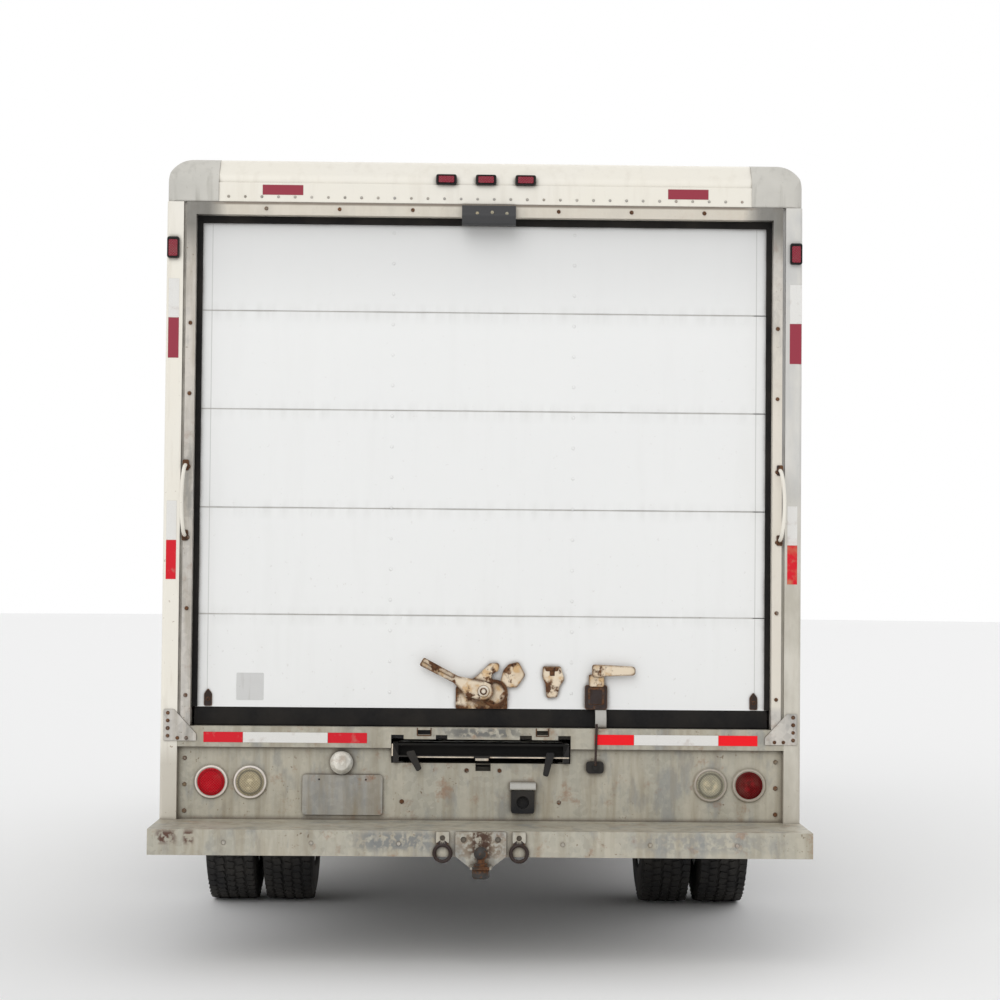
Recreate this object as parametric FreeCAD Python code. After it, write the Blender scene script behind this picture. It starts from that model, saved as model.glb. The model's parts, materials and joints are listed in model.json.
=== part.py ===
import FreeCAD, Part
import math
import os

# A box truck: a 15 ft van body with a roll-up rear door on a cutaway chassis with dual rear wheels.
# Millimetres. The truck faces +Y, +X is its right side, +Z is up, and the origin lies on the ground
# under the middle of the overall length.

V = FreeCAD.Vector
SIDES = {"left": -1, "right": 1}
RUNNING_FIT = 0.4          # radial gap of a turning shaft in its bore
PANEL_GAP = 6.0            # gap round a door, a hood or a wing

# Overall sizes
BODY_WIDTH = 2438.0
BOX_LENGTH = 4570.0
REAR_OVERHANG = 1620.0     # rear axle to the face of the rear frame
FRONT_OVERHANG = 780.0     # front axle to the face of the front bumper
CAB_SETBACK = 1470.0       # front axle to the back of the cab
CAB_GAP = 50.0             # back of the cab to the front of the box
BUMPER_REACH = 320.0       # rear frame to the face of the rear step bumper
HITCH_REACH = 80.0         # face of the rear bumper to the end of the ball shelf
WHEELBASE = BOX_LENGTH + CAB_GAP + CAB_SETBACK - REAR_OVERHANG

# Stations along the truck
REAR_AXLE_Y = (REAR_OVERHANG + BUMPER_REACH + HITCH_REACH - WHEELBASE - FRONT_OVERHANG) / 2
FRONT_AXLE_Y = REAR_AXLE_Y + WHEELBASE
REAR_Y = REAR_AXLE_Y - REAR_OVERHANG
BOX_FRONT_Y = REAR_Y + BOX_LENGTH
CAB_BACK_Y = BOX_FRONT_Y + CAB_GAP
BUMPER_FACE_Y = REAR_Y - BUMPER_REACH
NOSE_Y = FRONT_AXLE_Y + FRONT_OVERHANG

# Wheels: 225/75R16 tyres, twins at the rear
TYRE_RADIUS = 372.5
TYRE_WIDTH = 225.0
RIM_RADIUS = 203.0
RIM_WIDTH = 180.0
RIM_WALL = 11.0
RIM_LIP = 12.0
DISC_THICK = 12.0
TWIN_SPACING = 250.0
REAR_OUTER_X = 1082.0      # centre plane of the outer rear tyres
FRONT_WHEEL_X = 850.0      # centre plane of the front tyres
KINGPIN_X = 720.0
AXLE_Z = TYRE_RADIUS
MOUNT_OFFSET = TWIN_SPACING / 2
REAR_MOUNT_X = REAR_OUTER_X - MOUNT_OFFSET
FRONT_MOUNT_X = FRONT_WHEEL_X + MOUNT_OFFSET
SPINDLE_R = 32.0
HUB_R = 66.0
HUB_DEPTH = 58.0
HAND_HOLES = 8

# Chassis frame
RAIL_SPAN = 864.0          # over the outer faces of the rails
RAIL_HEIGHT = 200.0
RAIL_FLANGE = 62.0
RAIL_WALL = 8.0
AXLE_TO_RAIL = 167.5
RAIL_X = RAIL_SPAN / 2
RAIL_BOTTOM = AXLE_Z + AXLE_TO_RAIL
RAIL_TOP = RAIL_BOTTOM + RAIL_HEIGHT
CROSS_HEIGHT = 80.0

# Box floor: the long sills stand on the rails and carry the deck
SILL_HEIGHT = 100.0
FLOOR_THICK = 40.0
DECK_TOP = RAIL_TOP + SILL_HEIGHT + FLOOR_THICK


def block(x0, x1, y0, y1, z0, z1):
    return Part.makeBox(x1 - x0, y1 - y0, z1 - z0, V(x0, y0, z0))


def rod(radius, start, end):
    run = V(*end) - V(*start)
    return Part.makeCylinder(radius, run.Length, V(*start), run)


def mirror_x(shape):
    return shape.mirror(V(0, 0, 0), V(1, 0, 0))


def both_sides(shape):
    return [shape, mirror_x(shape)]


def on_side(shape, sign):
    return shape if sign > 0 else mirror_x(shape)


def outline(corners, place):
    # A closed wire through corners (u, v, radius), each rounded by an arc tangent to its two runs.
    ends = []
    for i, (u, v, radius) in enumerate(corners):
        corner = V(u, v, 0)
        if radius <= 0:
            ends.append((corner, None, corner))
            continue
        back = (V(*corners[i - 1][:2], 0) - corner).normalize()
        ahead = (V(*corners[(i + 1) % len(corners)][:2], 0) - corner).normalize()
        half = back.getAngle(ahead) / 2
        run = radius / math.tan(half)
        middle = (back + ahead).normalize()
        top = corner + middle * (radius / math.sin(half) - radius)
        ends.append((corner + back * run, top, corner + ahead * run))
    edges = []
    for i, (start, top, end) in enumerate(ends):
        if top is not None:
            edges.append(Part.Arc(place(start), place(top), place(end)).toShape())
        following = ends[(i + 1) % len(ends)][0]
        if (following - end).Length > 1e-4:
            edges.append(Part.makeLine(place(end), place(following)))
    return Part.Wire(edges)


def across(corners, x0, x1):
    # Outline in (y, z), drawn out along X
    return Part.Face(outline(corners, lambda p: V(x0, p.x, p.y))).extrude(V(x1 - x0, 0, 0))


def along(corners, y0, y1):
    # Outline in (x, z), drawn out along Y
    return Part.Face(outline(corners, lambda p: V(p.x, y0, p.y))).extrude(V(0, y1 - y0, 0))


def upward(corners, z0, z1):
    # Outline in (x, y), drawn out along Z
    return Part.Face(outline(corners, lambda p: V(p.x, p.y, z0))).extrude(V(0, 0, z1 - z0))


def frame_corners(u0, u1, v0, v1, radius):
    return [(u0, v0, radius), (u1, v0, radius), (u1, v1, radius), (u0, v1, radius)]


def turned(corners, centre):
    # Outline in (x, radius), turned about the wheel axis through centre
    face = Part.Face(outline(corners, lambda p: V(p.x, 0, p.y)))
    solid = face.revolve(V(0, 0, 0), V(1, 0, 0), 360)
    solid.translate(V(*centre))
    return solid


def bent_bar(points, radius, bend):
    # Round bar along straight runs that are joined by tangent arcs of radius bend
    spots = [V(*point) for point in points]
    edges = []
    start = spots[0]
    for i in range(1, len(spots) - 1):
        back = (spots[i - 1] - spots[i]).normalize()
        ahead = (spots[i + 1] - spots[i]).normalize()
        half = back.getAngle(ahead) / 2
        run = bend / math.tan(half)
        top = spots[i] + (back + ahead).normalize() * (bend / math.sin(half) - bend)
        edges.append(Part.makeLine(start, spots[i] + back * run))
        edges.append(Part.Arc(spots[i] + back * run, top, spots[i] + ahead * run).toShape())
        start = spots[i] + ahead * run
    edges.append(Part.makeLine(start, spots[-1]))
    section = Part.Wire([Part.makeCircle(radius, spots[0], spots[1] - spots[0])])
    return Part.Wire(edges).makePipeShell([section], True, False)


def joined(shapes):
    first = shapes[0]
    if len(shapes) > 1:
        first = first.fuse(shapes[1:])
    return first.removeSplitter()


def write(name, shapes):
    solids = [solid for shape in shapes for solid in shape.Solids]
    shape = solids[0] if len(solids) == 1 else Part.makeCompound(solids)
    shape.exportStep("parts/" + name + ".step")


# ---------------------------------------------------------------- chassis

def chassis_frame():
    start = REAR_Y + APRON_DEPTH
    end = FRONT_AXLE_Y + 600.0
    inner = RAIL_X - RAIL_FLANGE
    rail = block(inner, RAIL_X, start, end, RAIL_BOTTOM, RAIL_TOP)
    hollow = block(inner - 1, RAIL_X - RAIL_WALL, start - 1, end + 1,
                   RAIL_BOTTOM + RAIL_WALL, RAIL_TOP - RAIL_WALL)
    rail = rail.cut(hollow)
    members = both_sides(rail)
    stations = [start + 60, REAR_AXLE_Y - 700, REAR_AXLE_Y + 700, REAR_AXLE_Y + 1450,
                FRONT_AXLE_Y - CAB_SETBACK + 100, FRONT_AXLE_Y + 560]
    for y in stations:
        web = RAIL_X - RAIL_WALL
        channel = block(-web, web, y - 30, y + 30, RAIL_TOP - RAIL_WALL - CROSS_HEIGHT,
                        RAIL_TOP - RAIL_WALL)
        groove = block(-web, web, y - 30 + RAIL_WALL, y + 31,
                       RAIL_TOP - CROSS_HEIGHT, RAIL_TOP - 2 * RAIL_WALL)
        members.append(channel.cut(groove))
    return [joined(members)]


ENGINE_HALF_WIDTH = 290.0
ENGINE_BACK = 380.0        # behind the front axle
ENGINE_FRONT = 400.0       # ahead of the front axle
ENGINE_BOTTOM = RAIL_BOTTOM - 20
ENGINE_TOP = RAIL_TOP + 300
GEARBOX_HALF_WIDTH = 150.0
GEARBOX_LENGTH = 520.0
GEARBOX_END_Y = FRONT_AXLE_Y - ENGINE_BACK - GEARBOX_LENGTH
SHAFT_R = 45.0
SHAFT_FRONT_Z = RAIL_BOTTOM + 30


def engine_block():
    # One plain mass: engine, mounts that rest on the rails, and gearbox
    engine = block(-ENGINE_HALF_WIDTH, ENGINE_HALF_WIDTH, FRONT_AXLE_Y - ENGINE_BACK,
                   FRONT_AXLE_Y + ENGINE_FRONT, ENGINE_BOTTOM, ENGINE_TOP)
    mounts = block(-RAIL_X + 15, RAIL_X - 15, FRONT_AXLE_Y - 60, FRONT_AXLE_Y + 60,
                   RAIL_TOP, RAIL_TOP + 40)
    gearbox = block(-GEARBOX_HALF_WIDTH, GEARBOX_HALF_WIDTH, GEARBOX_END_Y,
                    FRONT_AXLE_Y - ENGINE_BACK, ENGINE_BOTTOM - 10, RAIL_TOP - 100)
    return [joined([engine, mounts, gearbox])]


AXLE_TUBE_R = 55.0
REAR_SPINDLE_R = 38.0
DRUM_R = 165.0
DRUM_INNER_X = REAR_MOUNT_X - 150


HOUSING_R = 150.0
HOUSING_HALF = 110.0
NOSE_LENGTH = 260.0
YOKE_R = 52.0
YOKE_LENGTH = 90.0


def rear_axle():
    # Banjo housing drawn as one turned outline, spindles, pinion nose, driveshaft and spring seats
    spindle_end = REAR_MOUNT_X + HUB_DEPTH - 12
    tube_end = DRUM_INNER_X - 20
    slope = HOUSING_HALF + 120
    housing = turned([(-tube_end, 0, 0), (-tube_end, AXLE_TUBE_R, 0), (-slope, AXLE_TUBE_R, 60),
                      (-HOUSING_HALF, HOUSING_R, 60), (HOUSING_HALF, HOUSING_R, 60),
                      (slope, AXLE_TUBE_R, 60),
                      (tube_end, AXLE_TUBE_R, 0), (tube_end, 0, 0)], (0, REAR_AXLE_Y, AXLE_Z))
    spindles = both_sides(rod(REAR_SPINDLE_R, (tube_end - 10, REAR_AXLE_Y, AXLE_Z),
                              (spindle_end, REAR_AXLE_Y, AXLE_Z)))
    cover = rod(100, (0, REAR_AXLE_Y - HOUSING_R - 20, AXLE_Z), (0, REAR_AXLE_Y, AXLE_Z))
    nose_y = REAR_AXLE_Y + NOSE_LENGTH
    nose = Part.makeCone(90, YOKE_R + 8, NOSE_LENGTH, V(0, REAR_AXLE_Y, AXLE_Z), V(0, 1, 0))
    half = YOKE_R
    joint_y = GEARBOX_END_Y - YOKE_LENGTH
    shaft = [block(-half, half, nose_y - 10, nose_y + YOKE_LENGTH, AXLE_Z - half, AXLE_Z + half),
             rod(SHAFT_R, (0, nose_y + 40, AXLE_Z), (0, joint_y + 40, SHAFT_FRONT_Z)),
             block(-half, half, joint_y, GEARBOX_END_Y, SHAFT_FRONT_Z - half, SHAFT_FRONT_Z + half)]
    seats = both_sides(block(REAR_SPRING_X, REAR_SPRING_X + SPRING_WIDTH, REAR_AXLE_Y - 70,
                             REAR_AXLE_Y + 70, AXLE_Z, AXLE_Z + SPRING_SEAT))
    return [joined([housing, cover, nose] + spindles + shaft + seats)]


SPRING_WIDTH = 70.0
SPRING_SEAT = 62.0         # axle centre to the underside of a rear spring
REAR_SPRING_X = RAIL_X + 14
FRONT_SPRING_X = RAIL_X - 66
LEAF_THICK = 11.0
EYE_R = 24.0


def leaf_pack(x0, y, z_bottom, half_length, radius, leaves):
    # Leaves lie in one another as ring sectors with a common centre; the longest is on top
    solids = []
    bottom = radius + leaves * LEAF_THICK
    centre_z = z_bottom + bottom
    for i in range(leaves):
        outer = radius + (i + 1) * LEAF_THICK
        inner = outer - LEAF_THICK
        reach = math.asin(half_length * (1 - 0.19 * i) / radius)

        def spot(r, angle):
            return V(x0, y + r * math.sin(angle), centre_z - r * math.cos(angle))
        wire = Part.Wire([
            Part.Arc(spot(inner, -reach), spot(inner, 0), spot(inner, reach)).toShape(),
            Part.makeLine(spot(inner, reach), spot(outer, reach)),
            Part.Arc(spot(outer, reach), spot(outer, 0), spot(outer, -reach)).toShape(),
            Part.makeLine(spot(outer, -reach), spot(inner, -reach))])
        solids.append(Part.Face(wire).extrude(V(SPRING_WIDTH, 0, 0)))
    end_z = centre_z - math.sqrt(radius ** 2 - half_length ** 2)
    return solids, end_z


def spring_with_hangers(x0, y, z_bottom, half_length, radius, leaves, hanger_x):
    solids, end_z = leaf_pack(x0, y, z_bottom, half_length, radius, leaves)
    x1 = x0 + SPRING_WIDTH
    for sign in (-1, 1):
        eye_y = y + sign * half_length
        solids.append(rod(EYE_R, (x0, eye_y, end_z), (x1, eye_y, end_z)))
        solids.append(block(hanger_x[0], hanger_x[1], eye_y - 35, eye_y + 35, end_z, hanger_x[2]))
    return joined(solids)


def leaf_springs():
    rear = spring_with_hangers(REAR_SPRING_X, REAR_AXLE_Y, AXLE_Z + SPRING_SEAT, 620.0, 2600.0, 4,
                               (RAIL_X, REAR_SPRING_X + SPRING_WIDTH, RAIL_BOTTOM + 90))
    front = spring_with_hangers(FRONT_SPRING_X, FRONT_AXLE_Y, BEAM_TOP, 560.0, 2600.0, 3,
                                (FRONT_SPRING_X, FRONT_SPRING_X + SPRING_WIDTH, RAIL_BOTTOM))
    return both_sides(rear) + both_sides(front)


BEAM_TOP = AXLE_Z + 28
BEAM_HEIGHT = 66.0
BEAM_DROP = 34.0
BEAM_DEPTH = 76.0
KINGPIN_R = 16.0
EYE_BOSS_R = 34.0
EYE_HALF_HEIGHT = 38.0
FORK_GAP = 2.0
FORK_EAR = 24.0
ARM_LENGTH = 170.0
BALL_R = 17.0


def front_axle():
    # Forged I-beam, dropped in the middle, with an eye for each kingpin
    end = KINGPIN_X - 20
    low = BEAM_TOP - BEAM_DROP - BEAM_HEIGHT
    half = [(-end, BEAM_TOP, 0), (-end, BEAM_TOP - BEAM_HEIGHT, 0), (-RAIL_X, BEAM_TOP - BEAM_HEIGHT, 60),
            (-RAIL_X + 120, low, 60), (RAIL_X - 120, low, 60), (RAIL_X, BEAM_TOP - BEAM_HEIGHT, 60),
            (end, BEAM_TOP - BEAM_HEIGHT, 0), (end, BEAM_TOP, 0), (FRONT_SPRING_X - 20, BEAM_TOP, 30),
            (FRONT_SPRING_X - 110, BEAM_TOP - BEAM_DROP, 30),
            (110 - FRONT_SPRING_X, BEAM_TOP - BEAM_DROP, 30), (20 - FRONT_SPRING_X, BEAM_TOP, 30)]
    beam = along(half, FRONT_AXLE_Y - BEAM_DEPTH / 2, FRONT_AXLE_Y + BEAM_DEPTH / 2)
    for sign in (-1, 1):
        x0 = sign * (RAIL_X + 40)
        x1 = sign * (end - 50)
        for face in (-1, 1):
            pocket_y = FRONT_AXLE_Y + face * BEAM_DEPTH / 2
            beam = beam.cut(block(min(x0, x1), max(x0, x1), pocket_y - 22, pocket_y + 22,
                                  BEAM_TOP - BEAM_HEIGHT + 14, BEAM_TOP - 14))
    pieces = [beam]
    for sign in (-1, 1):
        x = sign * KINGPIN_X
        boss = rod(EYE_BOSS_R, (x, FRONT_AXLE_Y, AXLE_Z - EYE_HALF_HEIGHT),
                   (x, FRONT_AXLE_Y, AXLE_Z + EYE_HALF_HEIGHT))
        pieces.append(boss)
    solid = joined(pieces)
    for sign in (-1, 1):
        x = sign * KINGPIN_X
        solid = solid.cut(rod(KINGPIN_R + RUNNING_FIT, (x, FRONT_AXLE_Y, 0), (x, FRONT_AXLE_Y, 2 * AXLE_Z)))
    return [solid]


def knuckle(sign):
    # Fork round the beam's eye, kingpin, wheel spindle and the arm to the tie rod
    top = AXLE_Z + EYE_HALF_HEIGHT + FORK_GAP
    bottom = AXLE_Z - EYE_HALF_HEIGHT - FORK_GAP
    fork_x = KINGPIN_X + EYE_BOSS_R + 6
    pin = rod(KINGPIN_R, (KINGPIN_X, FRONT_AXLE_Y, bottom - FORK_EAR - 8),
              (KINGPIN_X, FRONT_AXLE_Y, top + FORK_EAR + 8))
    ears = []
    for z in (top, bottom - FORK_EAR):
        ears.append(rod(EYE_BOSS_R, (KINGPIN_X, FRONT_AXLE_Y, z), (KINGPIN_X, FRONT_AXLE_Y, z + FORK_EAR)))
        ears.append(block(KINGPIN_X, fork_x + 16, FRONT_AXLE_Y - EYE_BOSS_R, FRONT_AXLE_Y + EYE_BOSS_R,
                          z, z + FORK_EAR))
    plate = block(fork_x, fork_x + 16, FRONT_AXLE_Y - 60, FRONT_AXLE_Y + 60,
                  bottom - FORK_EAR, top + FORK_EAR)
    spindle = rod(SPINDLE_R, (fork_x + 4, FRONT_AXLE_Y, AXLE_Z),
                  (FRONT_MOUNT_X + HUB_DEPTH - 16, FRONT_AXLE_Y, AXLE_Z))
    arm_top = bottom - FORK_EAR + 22
    arm = block(KINGPIN_X - 14, KINGPIN_X + 14, FRONT_AXLE_Y - ARM_LENGTH, FRONT_AXLE_Y,
                arm_top - 22, arm_top)
    arm_end = rod(24, (KINGPIN_X, FRONT_AXLE_Y - ARM_LENGTH, arm_top - 22),
                  (KINGPIN_X, FRONT_AXLE_Y - ARM_LENGTH, arm_top))
    ball = rod(BALL_R / 2, (KINGPIN_X, FRONT_AXLE_Y - ARM_LENGTH, arm_top - 60),
               (KINGPIN_X, FRONT_AXLE_Y - ARM_LENGTH, arm_top - 22))
    return [on_side(joined([pin, plate, spindle, arm, arm_end, ball] + ears), sign)]


def tie_rod():
    # Hangs on the stud of each arm; bushed ends leave the studs a running fit
    y = FRONT_AXLE_Y - ARM_LENGTH
    bottom = AXLE_Z - EYE_HALF_HEIGHT - FORK_GAP - FORK_EAR
    z0 = bottom - 34
    z1 = bottom - 4
    z = (z0 + z1) / 2
    bar = rod(13, (-KINGPIN_X, y, z), (KINGPIN_X, y, z))
    ends = [rod(24, (x, y, z0), (x, y, z1)) for x in (-KINGPIN_X, KINGPIN_X)]
    solid = joined([bar] + ends)
    for x in (-KINGPIN_X, KINGPIN_X):
        solid = solid.cut(rod(BALL_R / 2 + RUNNING_FIT, (x, y, z0 - 1), (x, y, z1 + 1)))
    return [solid]


# ---------------------------------------------------------------- wheels

def tyre_section():
    # Tread crown, shoulders, bulging walls and beads on the rim
    half = TYRE_WIDTH / 2
    bead = RIM_WIDTH / 2
    bulge = RIM_RADIUS + 0.48 * (TYRE_RADIUS - RIM_RADIUS)
    return [(-bead, RIM_RADIUS, 0), (bead, RIM_RADIUS, 0), (bead, RIM_RADIUS + RIM_LIP + 4, 0),
            (half, bulge, 46), (half - 8, TYRE_RADIUS - 6, 16), (half - 30, TYRE_RADIUS, 0),
            (30 - half, TYRE_RADIUS, 0), (8 - half, TYRE_RADIUS - 6, 16), (-half, bulge, 46),
            (-bead, RIM_RADIUS + RIM_LIP + 4, 0)]


def tyre_at(x, y):
    return turned(tyre_section(), (x, y, AXLE_Z))


def rim_barrel():
    half = RIM_WIDTH / 2
    outer = half + 8
    r = RIM_RADIUS
    inner = r - RIM_WALL
    well = r - 22
    section = [(-outer, inner, 0), (-half + 30, inner, 0), (-half + 46, well - RIM_WALL, 0),
               (half - 66, well - RIM_WALL, 0), (half - 50, inner, 0), (outer, inner, 0),
               (outer, r + RIM_LIP, 0), (half, r + RIM_LIP, 0), (half, r, 0), (half - 40, r, 0),
               (half - 56, well, 0), (-half + 40, well, 0), (-half + 24, r, 0), (-half, r, 0),
               (-half, r + RIM_LIP, 0), (-outer, r + RIM_LIP, 0)]
    return section


def wheel_disc(plane, lean):
    # A pressed dish: flat at the bolting plane, coned to the barrel; lean is the way the cone goes
    edge_r = RIM_RADIUS - RIM_WALL + 4
    section = [(plane, SPINDLE_R + RUNNING_FIT + 8, 0), (plane, 105, 20), (plane + lean * 46, 150, 20),
               (plane + lean * 62, edge_r, 0), (plane + lean * 62 + DISC_THICK, edge_r, 0),
               (plane + lean * 46 + DISC_THICK, 150, 20), (plane + DISC_THICK, 105, 20),
               (plane + DISC_THICK, SPINDLE_R + RUNNING_FIT + 8, 0)]
    return section


def hand_holes(x0, x1):
    holes = []
    for i in range(HAND_HOLES):
        angle = 2 * math.pi * i / HAND_HOLES
        y = 134 * math.cos(angle)
        z = 134 * math.sin(angle)
        holes.append(rod(19, (x0, y, z), (x1, y, z)))
    return holes


def single_rim(centre, plane, lean):
    # Rim with its barrel centred on centre and its disc at plane, about the X axis
    barrel = turned(rim_barrel(), (centre, 0, 0))
    disc = turned(wheel_disc(plane, lean), (0, 0, 0))
    return [barrel, disc.cut(Part.makeCompound(hand_holes(plane - 90, plane + 90)))]


def front_rim(sign):
    pieces = single_rim(FRONT_WHEEL_X, FRONT_MOUNT_X, -1)
    hub = rod(HUB_R, (FRONT_MOUNT_X - 60, 0, 0), (FRONT_MOUNT_X + HUB_DEPTH, 0, 0))
    solid = joined(pieces + [hub])
    bore = rod(SPINDLE_R + RUNNING_FIT, (FRONT_MOUNT_X - 61, 0, 0), (FRONT_MOUNT_X + HUB_DEPTH - 14, 0, 0))
    solid = solid.cut(bore)
    solid.translate(V(0, FRONT_AXLE_Y, AXLE_Z))
    return [on_side(solid, sign)]


def rear_rims(sign):
    # Twin rims bolted back to back on one hub, with the brake drum behind them
    plane = REAR_MOUNT_X
    outer = single_rim(REAR_OUTER_X, plane, 1)
    inner = single_rim(REAR_OUTER_X - TWIN_SPACING, plane - DISC_THICK, -1)
    hub = rod(HUB_R, (plane - 60, 0, 0), (plane + HUB_DEPTH + 34, 0, 0))
    drum = rod(DRUM_R, (DRUM_INNER_X, 0, 0), (plane - DISC_THICK, 0, 0))
    solid = joined(outer + inner + [hub, drum])
    reach = plane + HUB_DEPTH - 10
    solid = solid.cut(rod(REAR_SPINDLE_R + RUNNING_FIT, (DRUM_INNER_X - 1, 0, 0), (reach, 0, 0)))
    solid.translate(V(0, REAR_AXLE_Y, AXLE_Z))
    return [on_side(solid, sign)]


def front_tyre(sign):
    return [on_side(tyre_at(FRONT_WHEEL_X, FRONT_AXLE_Y), sign)]


def rear_tyres(sign):
    pair = [tyre_at(x, REAR_AXLE_Y) for x in (REAR_OUTER_X, REAR_OUTER_X - TWIN_SPACING)]
    return [on_side(piece, sign) for piece in pair]


# ---------------------------------------------------------------- under the body

TANK_LENGTH = 900.0
TANK_WIDTH = 400.0
TANK_HEIGHT = 300.0


def fuel_tank():
    # Slung outside the left rail on two straps
    x1 = -RAIL_X - 30
    x0 = x1 - TANK_WIDTH
    y0 = REAR_AXLE_Y + 850
    z1 = RAIL_TOP - 30
    tank = across(frame_corners(y0, y0 + TANK_LENGTH, z1 - TANK_HEIGHT, z1, 50), x0, x1)
    straps = []
    for y in (y0 + 180, y0 + TANK_LENGTH - 180):
        straps.append(block(x0 - 4, -RAIL_X, y - 25, y + 25, z1 - TANK_HEIGHT - 4, z1 + 4))
    return [joined([tank] + straps)]


MUFFLER_R = 105.0
PIPE_R = 30.0


def exhaust():
    # Down pipe from the engine, muffler under the right side and a tail pipe that turns outboard
    x = RAIL_X + 150
    z = RAIL_BOTTOM - 40
    y0 = REAR_AXLE_Y + 1050
    y1 = y0 + 620
    front_y = FRONT_AXLE_Y - CAB_SETBACK + 260
    muffler = rod(MUFFLER_R, (x, y0, z), (x, y1, z))
    down = bent_bar([(GEARBOX_HALF_WIDTH, front_y + 200, z), (x, front_y, z), (x, y1 - 10, z)], PIPE_R, 90.0)
    tail = bent_bar([(x, y0 + 10, z), (x, y0 - 330, z), (BODY_WIDTH / 2 - 60, y0 - 420, z - 40)], PIPE_R,
                    90.0)
    hangers = [block(RAIL_X, x, y - 12, y + 12, z + 30, z + 60) for y in (y0 + 80, y1 - 80)]
    return [joined([muffler, down, tail] + hangers)]


# ---------------------------------------------------------------- cab

CAB_HALF_WIDTH = 1000.0
CAB_ROOF_HALF = 925.0
CAB_WALL = 50.0
CAB_SILL_Z = RAIL_BOTTOM + 20
BELT_Z = RAIL_TOP + 590
CAB_ROOF_Z = RAIL_TOP + 1370
HOOD_FRONT_Z = RAIL_TOP + 470
HOOD_SPLIT_Z = RAIL_TOP + 380
FRONT_LOW_Z = RAIL_BOTTOM + 110
SCREEN_BASE_Y = FRONT_AXLE_Y + 100
SCREEN_TOP_Y = FRONT_AXLE_Y - 330
GRILLE_Y = NOSE_Y - 90
HOOD_HALF = 784.0
ARCH_R = 440.0
FLOOR_Z = RAIL_TOP + 60
FLOOR_PLATE = 30.0
TOE_RISE = 30.0
FIREWALL_Y = FRONT_AXLE_Y + 60
DOOR_FRONT_Y = FRONT_AXLE_Y - 200
DOOR_FOOT_Y = FRONT_AXLE_Y - 470
DOOR_REAR_Y = CAB_BACK_Y + 140
DOOR_REAR_GAP = 14.0
DOOR_BOTTOM_Z = CAB_SILL_Z + 90
DOOR_TOP_Z = CAB_ROOF_Z - 110
GLASS_THICK = 6.0
GLASS_DEPTH = 14.0
HINGE_X = CAB_HALF_WIDTH + 4
HINGE_Y = DOOR_FRONT_Y + PANEL_GAP / 2
HINGE_R = 11.0
HINGE_PIN_R = 5.0
HINGE_LENGTH = 35.0
HINGE_HEIGHTS = (BELT_Z - 320, BELT_Z - 120)
HOOD_HINGE_Y = SCREEN_BASE_Y + PANEL_GAP
HOOD_HINGE_Z = BELT_Z + 4
HOOD_HINGE_X = 600.0


def inset(corners, depth):
    # The outline with every run moved inwards by depth
    count = len(corners)
    area = sum(corners[i - 1][0] * corners[i][1] - corners[i][0] * corners[i - 1][1]
               for i in range(count))
    turn = 1 if area > 0 else -1
    moved = []
    for i, (u, v, radius) in enumerate(corners):
        here = V(u, v, 0)
        before = (here - V(*corners[i - 1][:2], 0)).normalize()
        after = (V(*corners[(i + 1) % count][:2], 0) - here).normalize()
        normal = V(-before.y, before.x, 0) * turn + V(-after.y, after.x, 0) * turn
        spot = here + normal * (2 * depth / normal.dot(normal))
        outward = before.cross(after).z * turn > 0
        if radius > 0:
            radius = max(radius - depth, 2.0) if outward else radius + depth
        moved.append((spot.x, spot.y, radius))
    return moved


# Side of the cab: (y, z, corner radius); it runs past the back, which the plan closes
CAB_SIDE = [(CAB_BACK_Y - 60, CAB_SILL_Z, 0), (CAB_BACK_Y - 60, CAB_ROOF_Z, 160),
            (SCREEN_TOP_Y, CAB_ROOF_Z, 240), (SCREEN_BASE_Y, BELT_Z, 60),
            (GRILLE_Y - 90, HOOD_FRONT_Z, 110), (GRILLE_Y - 10, HOOD_SPLIT_Z - 90, 150),
            (GRILLE_Y, CAB_SILL_Z, 0)]
# Front of the cab: (x, z, corner radius); the roof is crowned and the sides lean in over the belt
CAB_FRONT = [(-CAB_HALF_WIDTH, CAB_SILL_Z - 60, 0), (CAB_HALF_WIDTH, CAB_SILL_Z - 60, 0),
             (CAB_HALF_WIDTH, BELT_Z, 500), (CAB_ROOF_HALF, CAB_ROOF_Z - 15, 170),
             (0, CAB_ROOF_Z + 25, 2000), (-CAB_ROOF_HALF, CAB_ROOF_Z - 15, 170),
             (-CAB_HALF_WIDTH, BELT_Z, 500)]
# Cab from above: (x, y, corner radius)
CAB_PLAN = [(-CAB_HALF_WIDTH, CAB_BACK_Y, 60), (CAB_HALF_WIDTH, CAB_BACK_Y, 60),
            (CAB_HALF_WIDTH, FRONT_AXLE_Y - 60, 800), (CAB_HALF_WIDTH - 110, GRILLE_Y + 40, 200),
            (110 - CAB_HALF_WIDTH, GRILLE_Y + 40, 200), (-CAB_HALF_WIDTH, FRONT_AXLE_Y - 60, 800)]


def cab_form(depth):
    # The cab's closed form, every face moved inwards by depth
    width = CAB_HALF_WIDTH + 10
    side = across(inset(CAB_SIDE, depth), -width, width)
    front = along(inset(CAB_FRONT, depth), CAB_BACK_Y - 100, NOSE_Y + 60)
    plan = upward(inset(CAB_PLAN, depth), CAB_SILL_Z - 100, CAB_ROOF_Z + 60)
    return side.common(front).common(plan)


def cab_skin(depth, thick):
    # A layer of the cab's form, open underneath
    skin = cab_form(depth).cut(cab_form(depth + thick))
    return skin.cut(upward(inset(CAB_PLAN, depth + thick), CAB_SILL_Z - 20, CAB_SILL_Z + 120))


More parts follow.
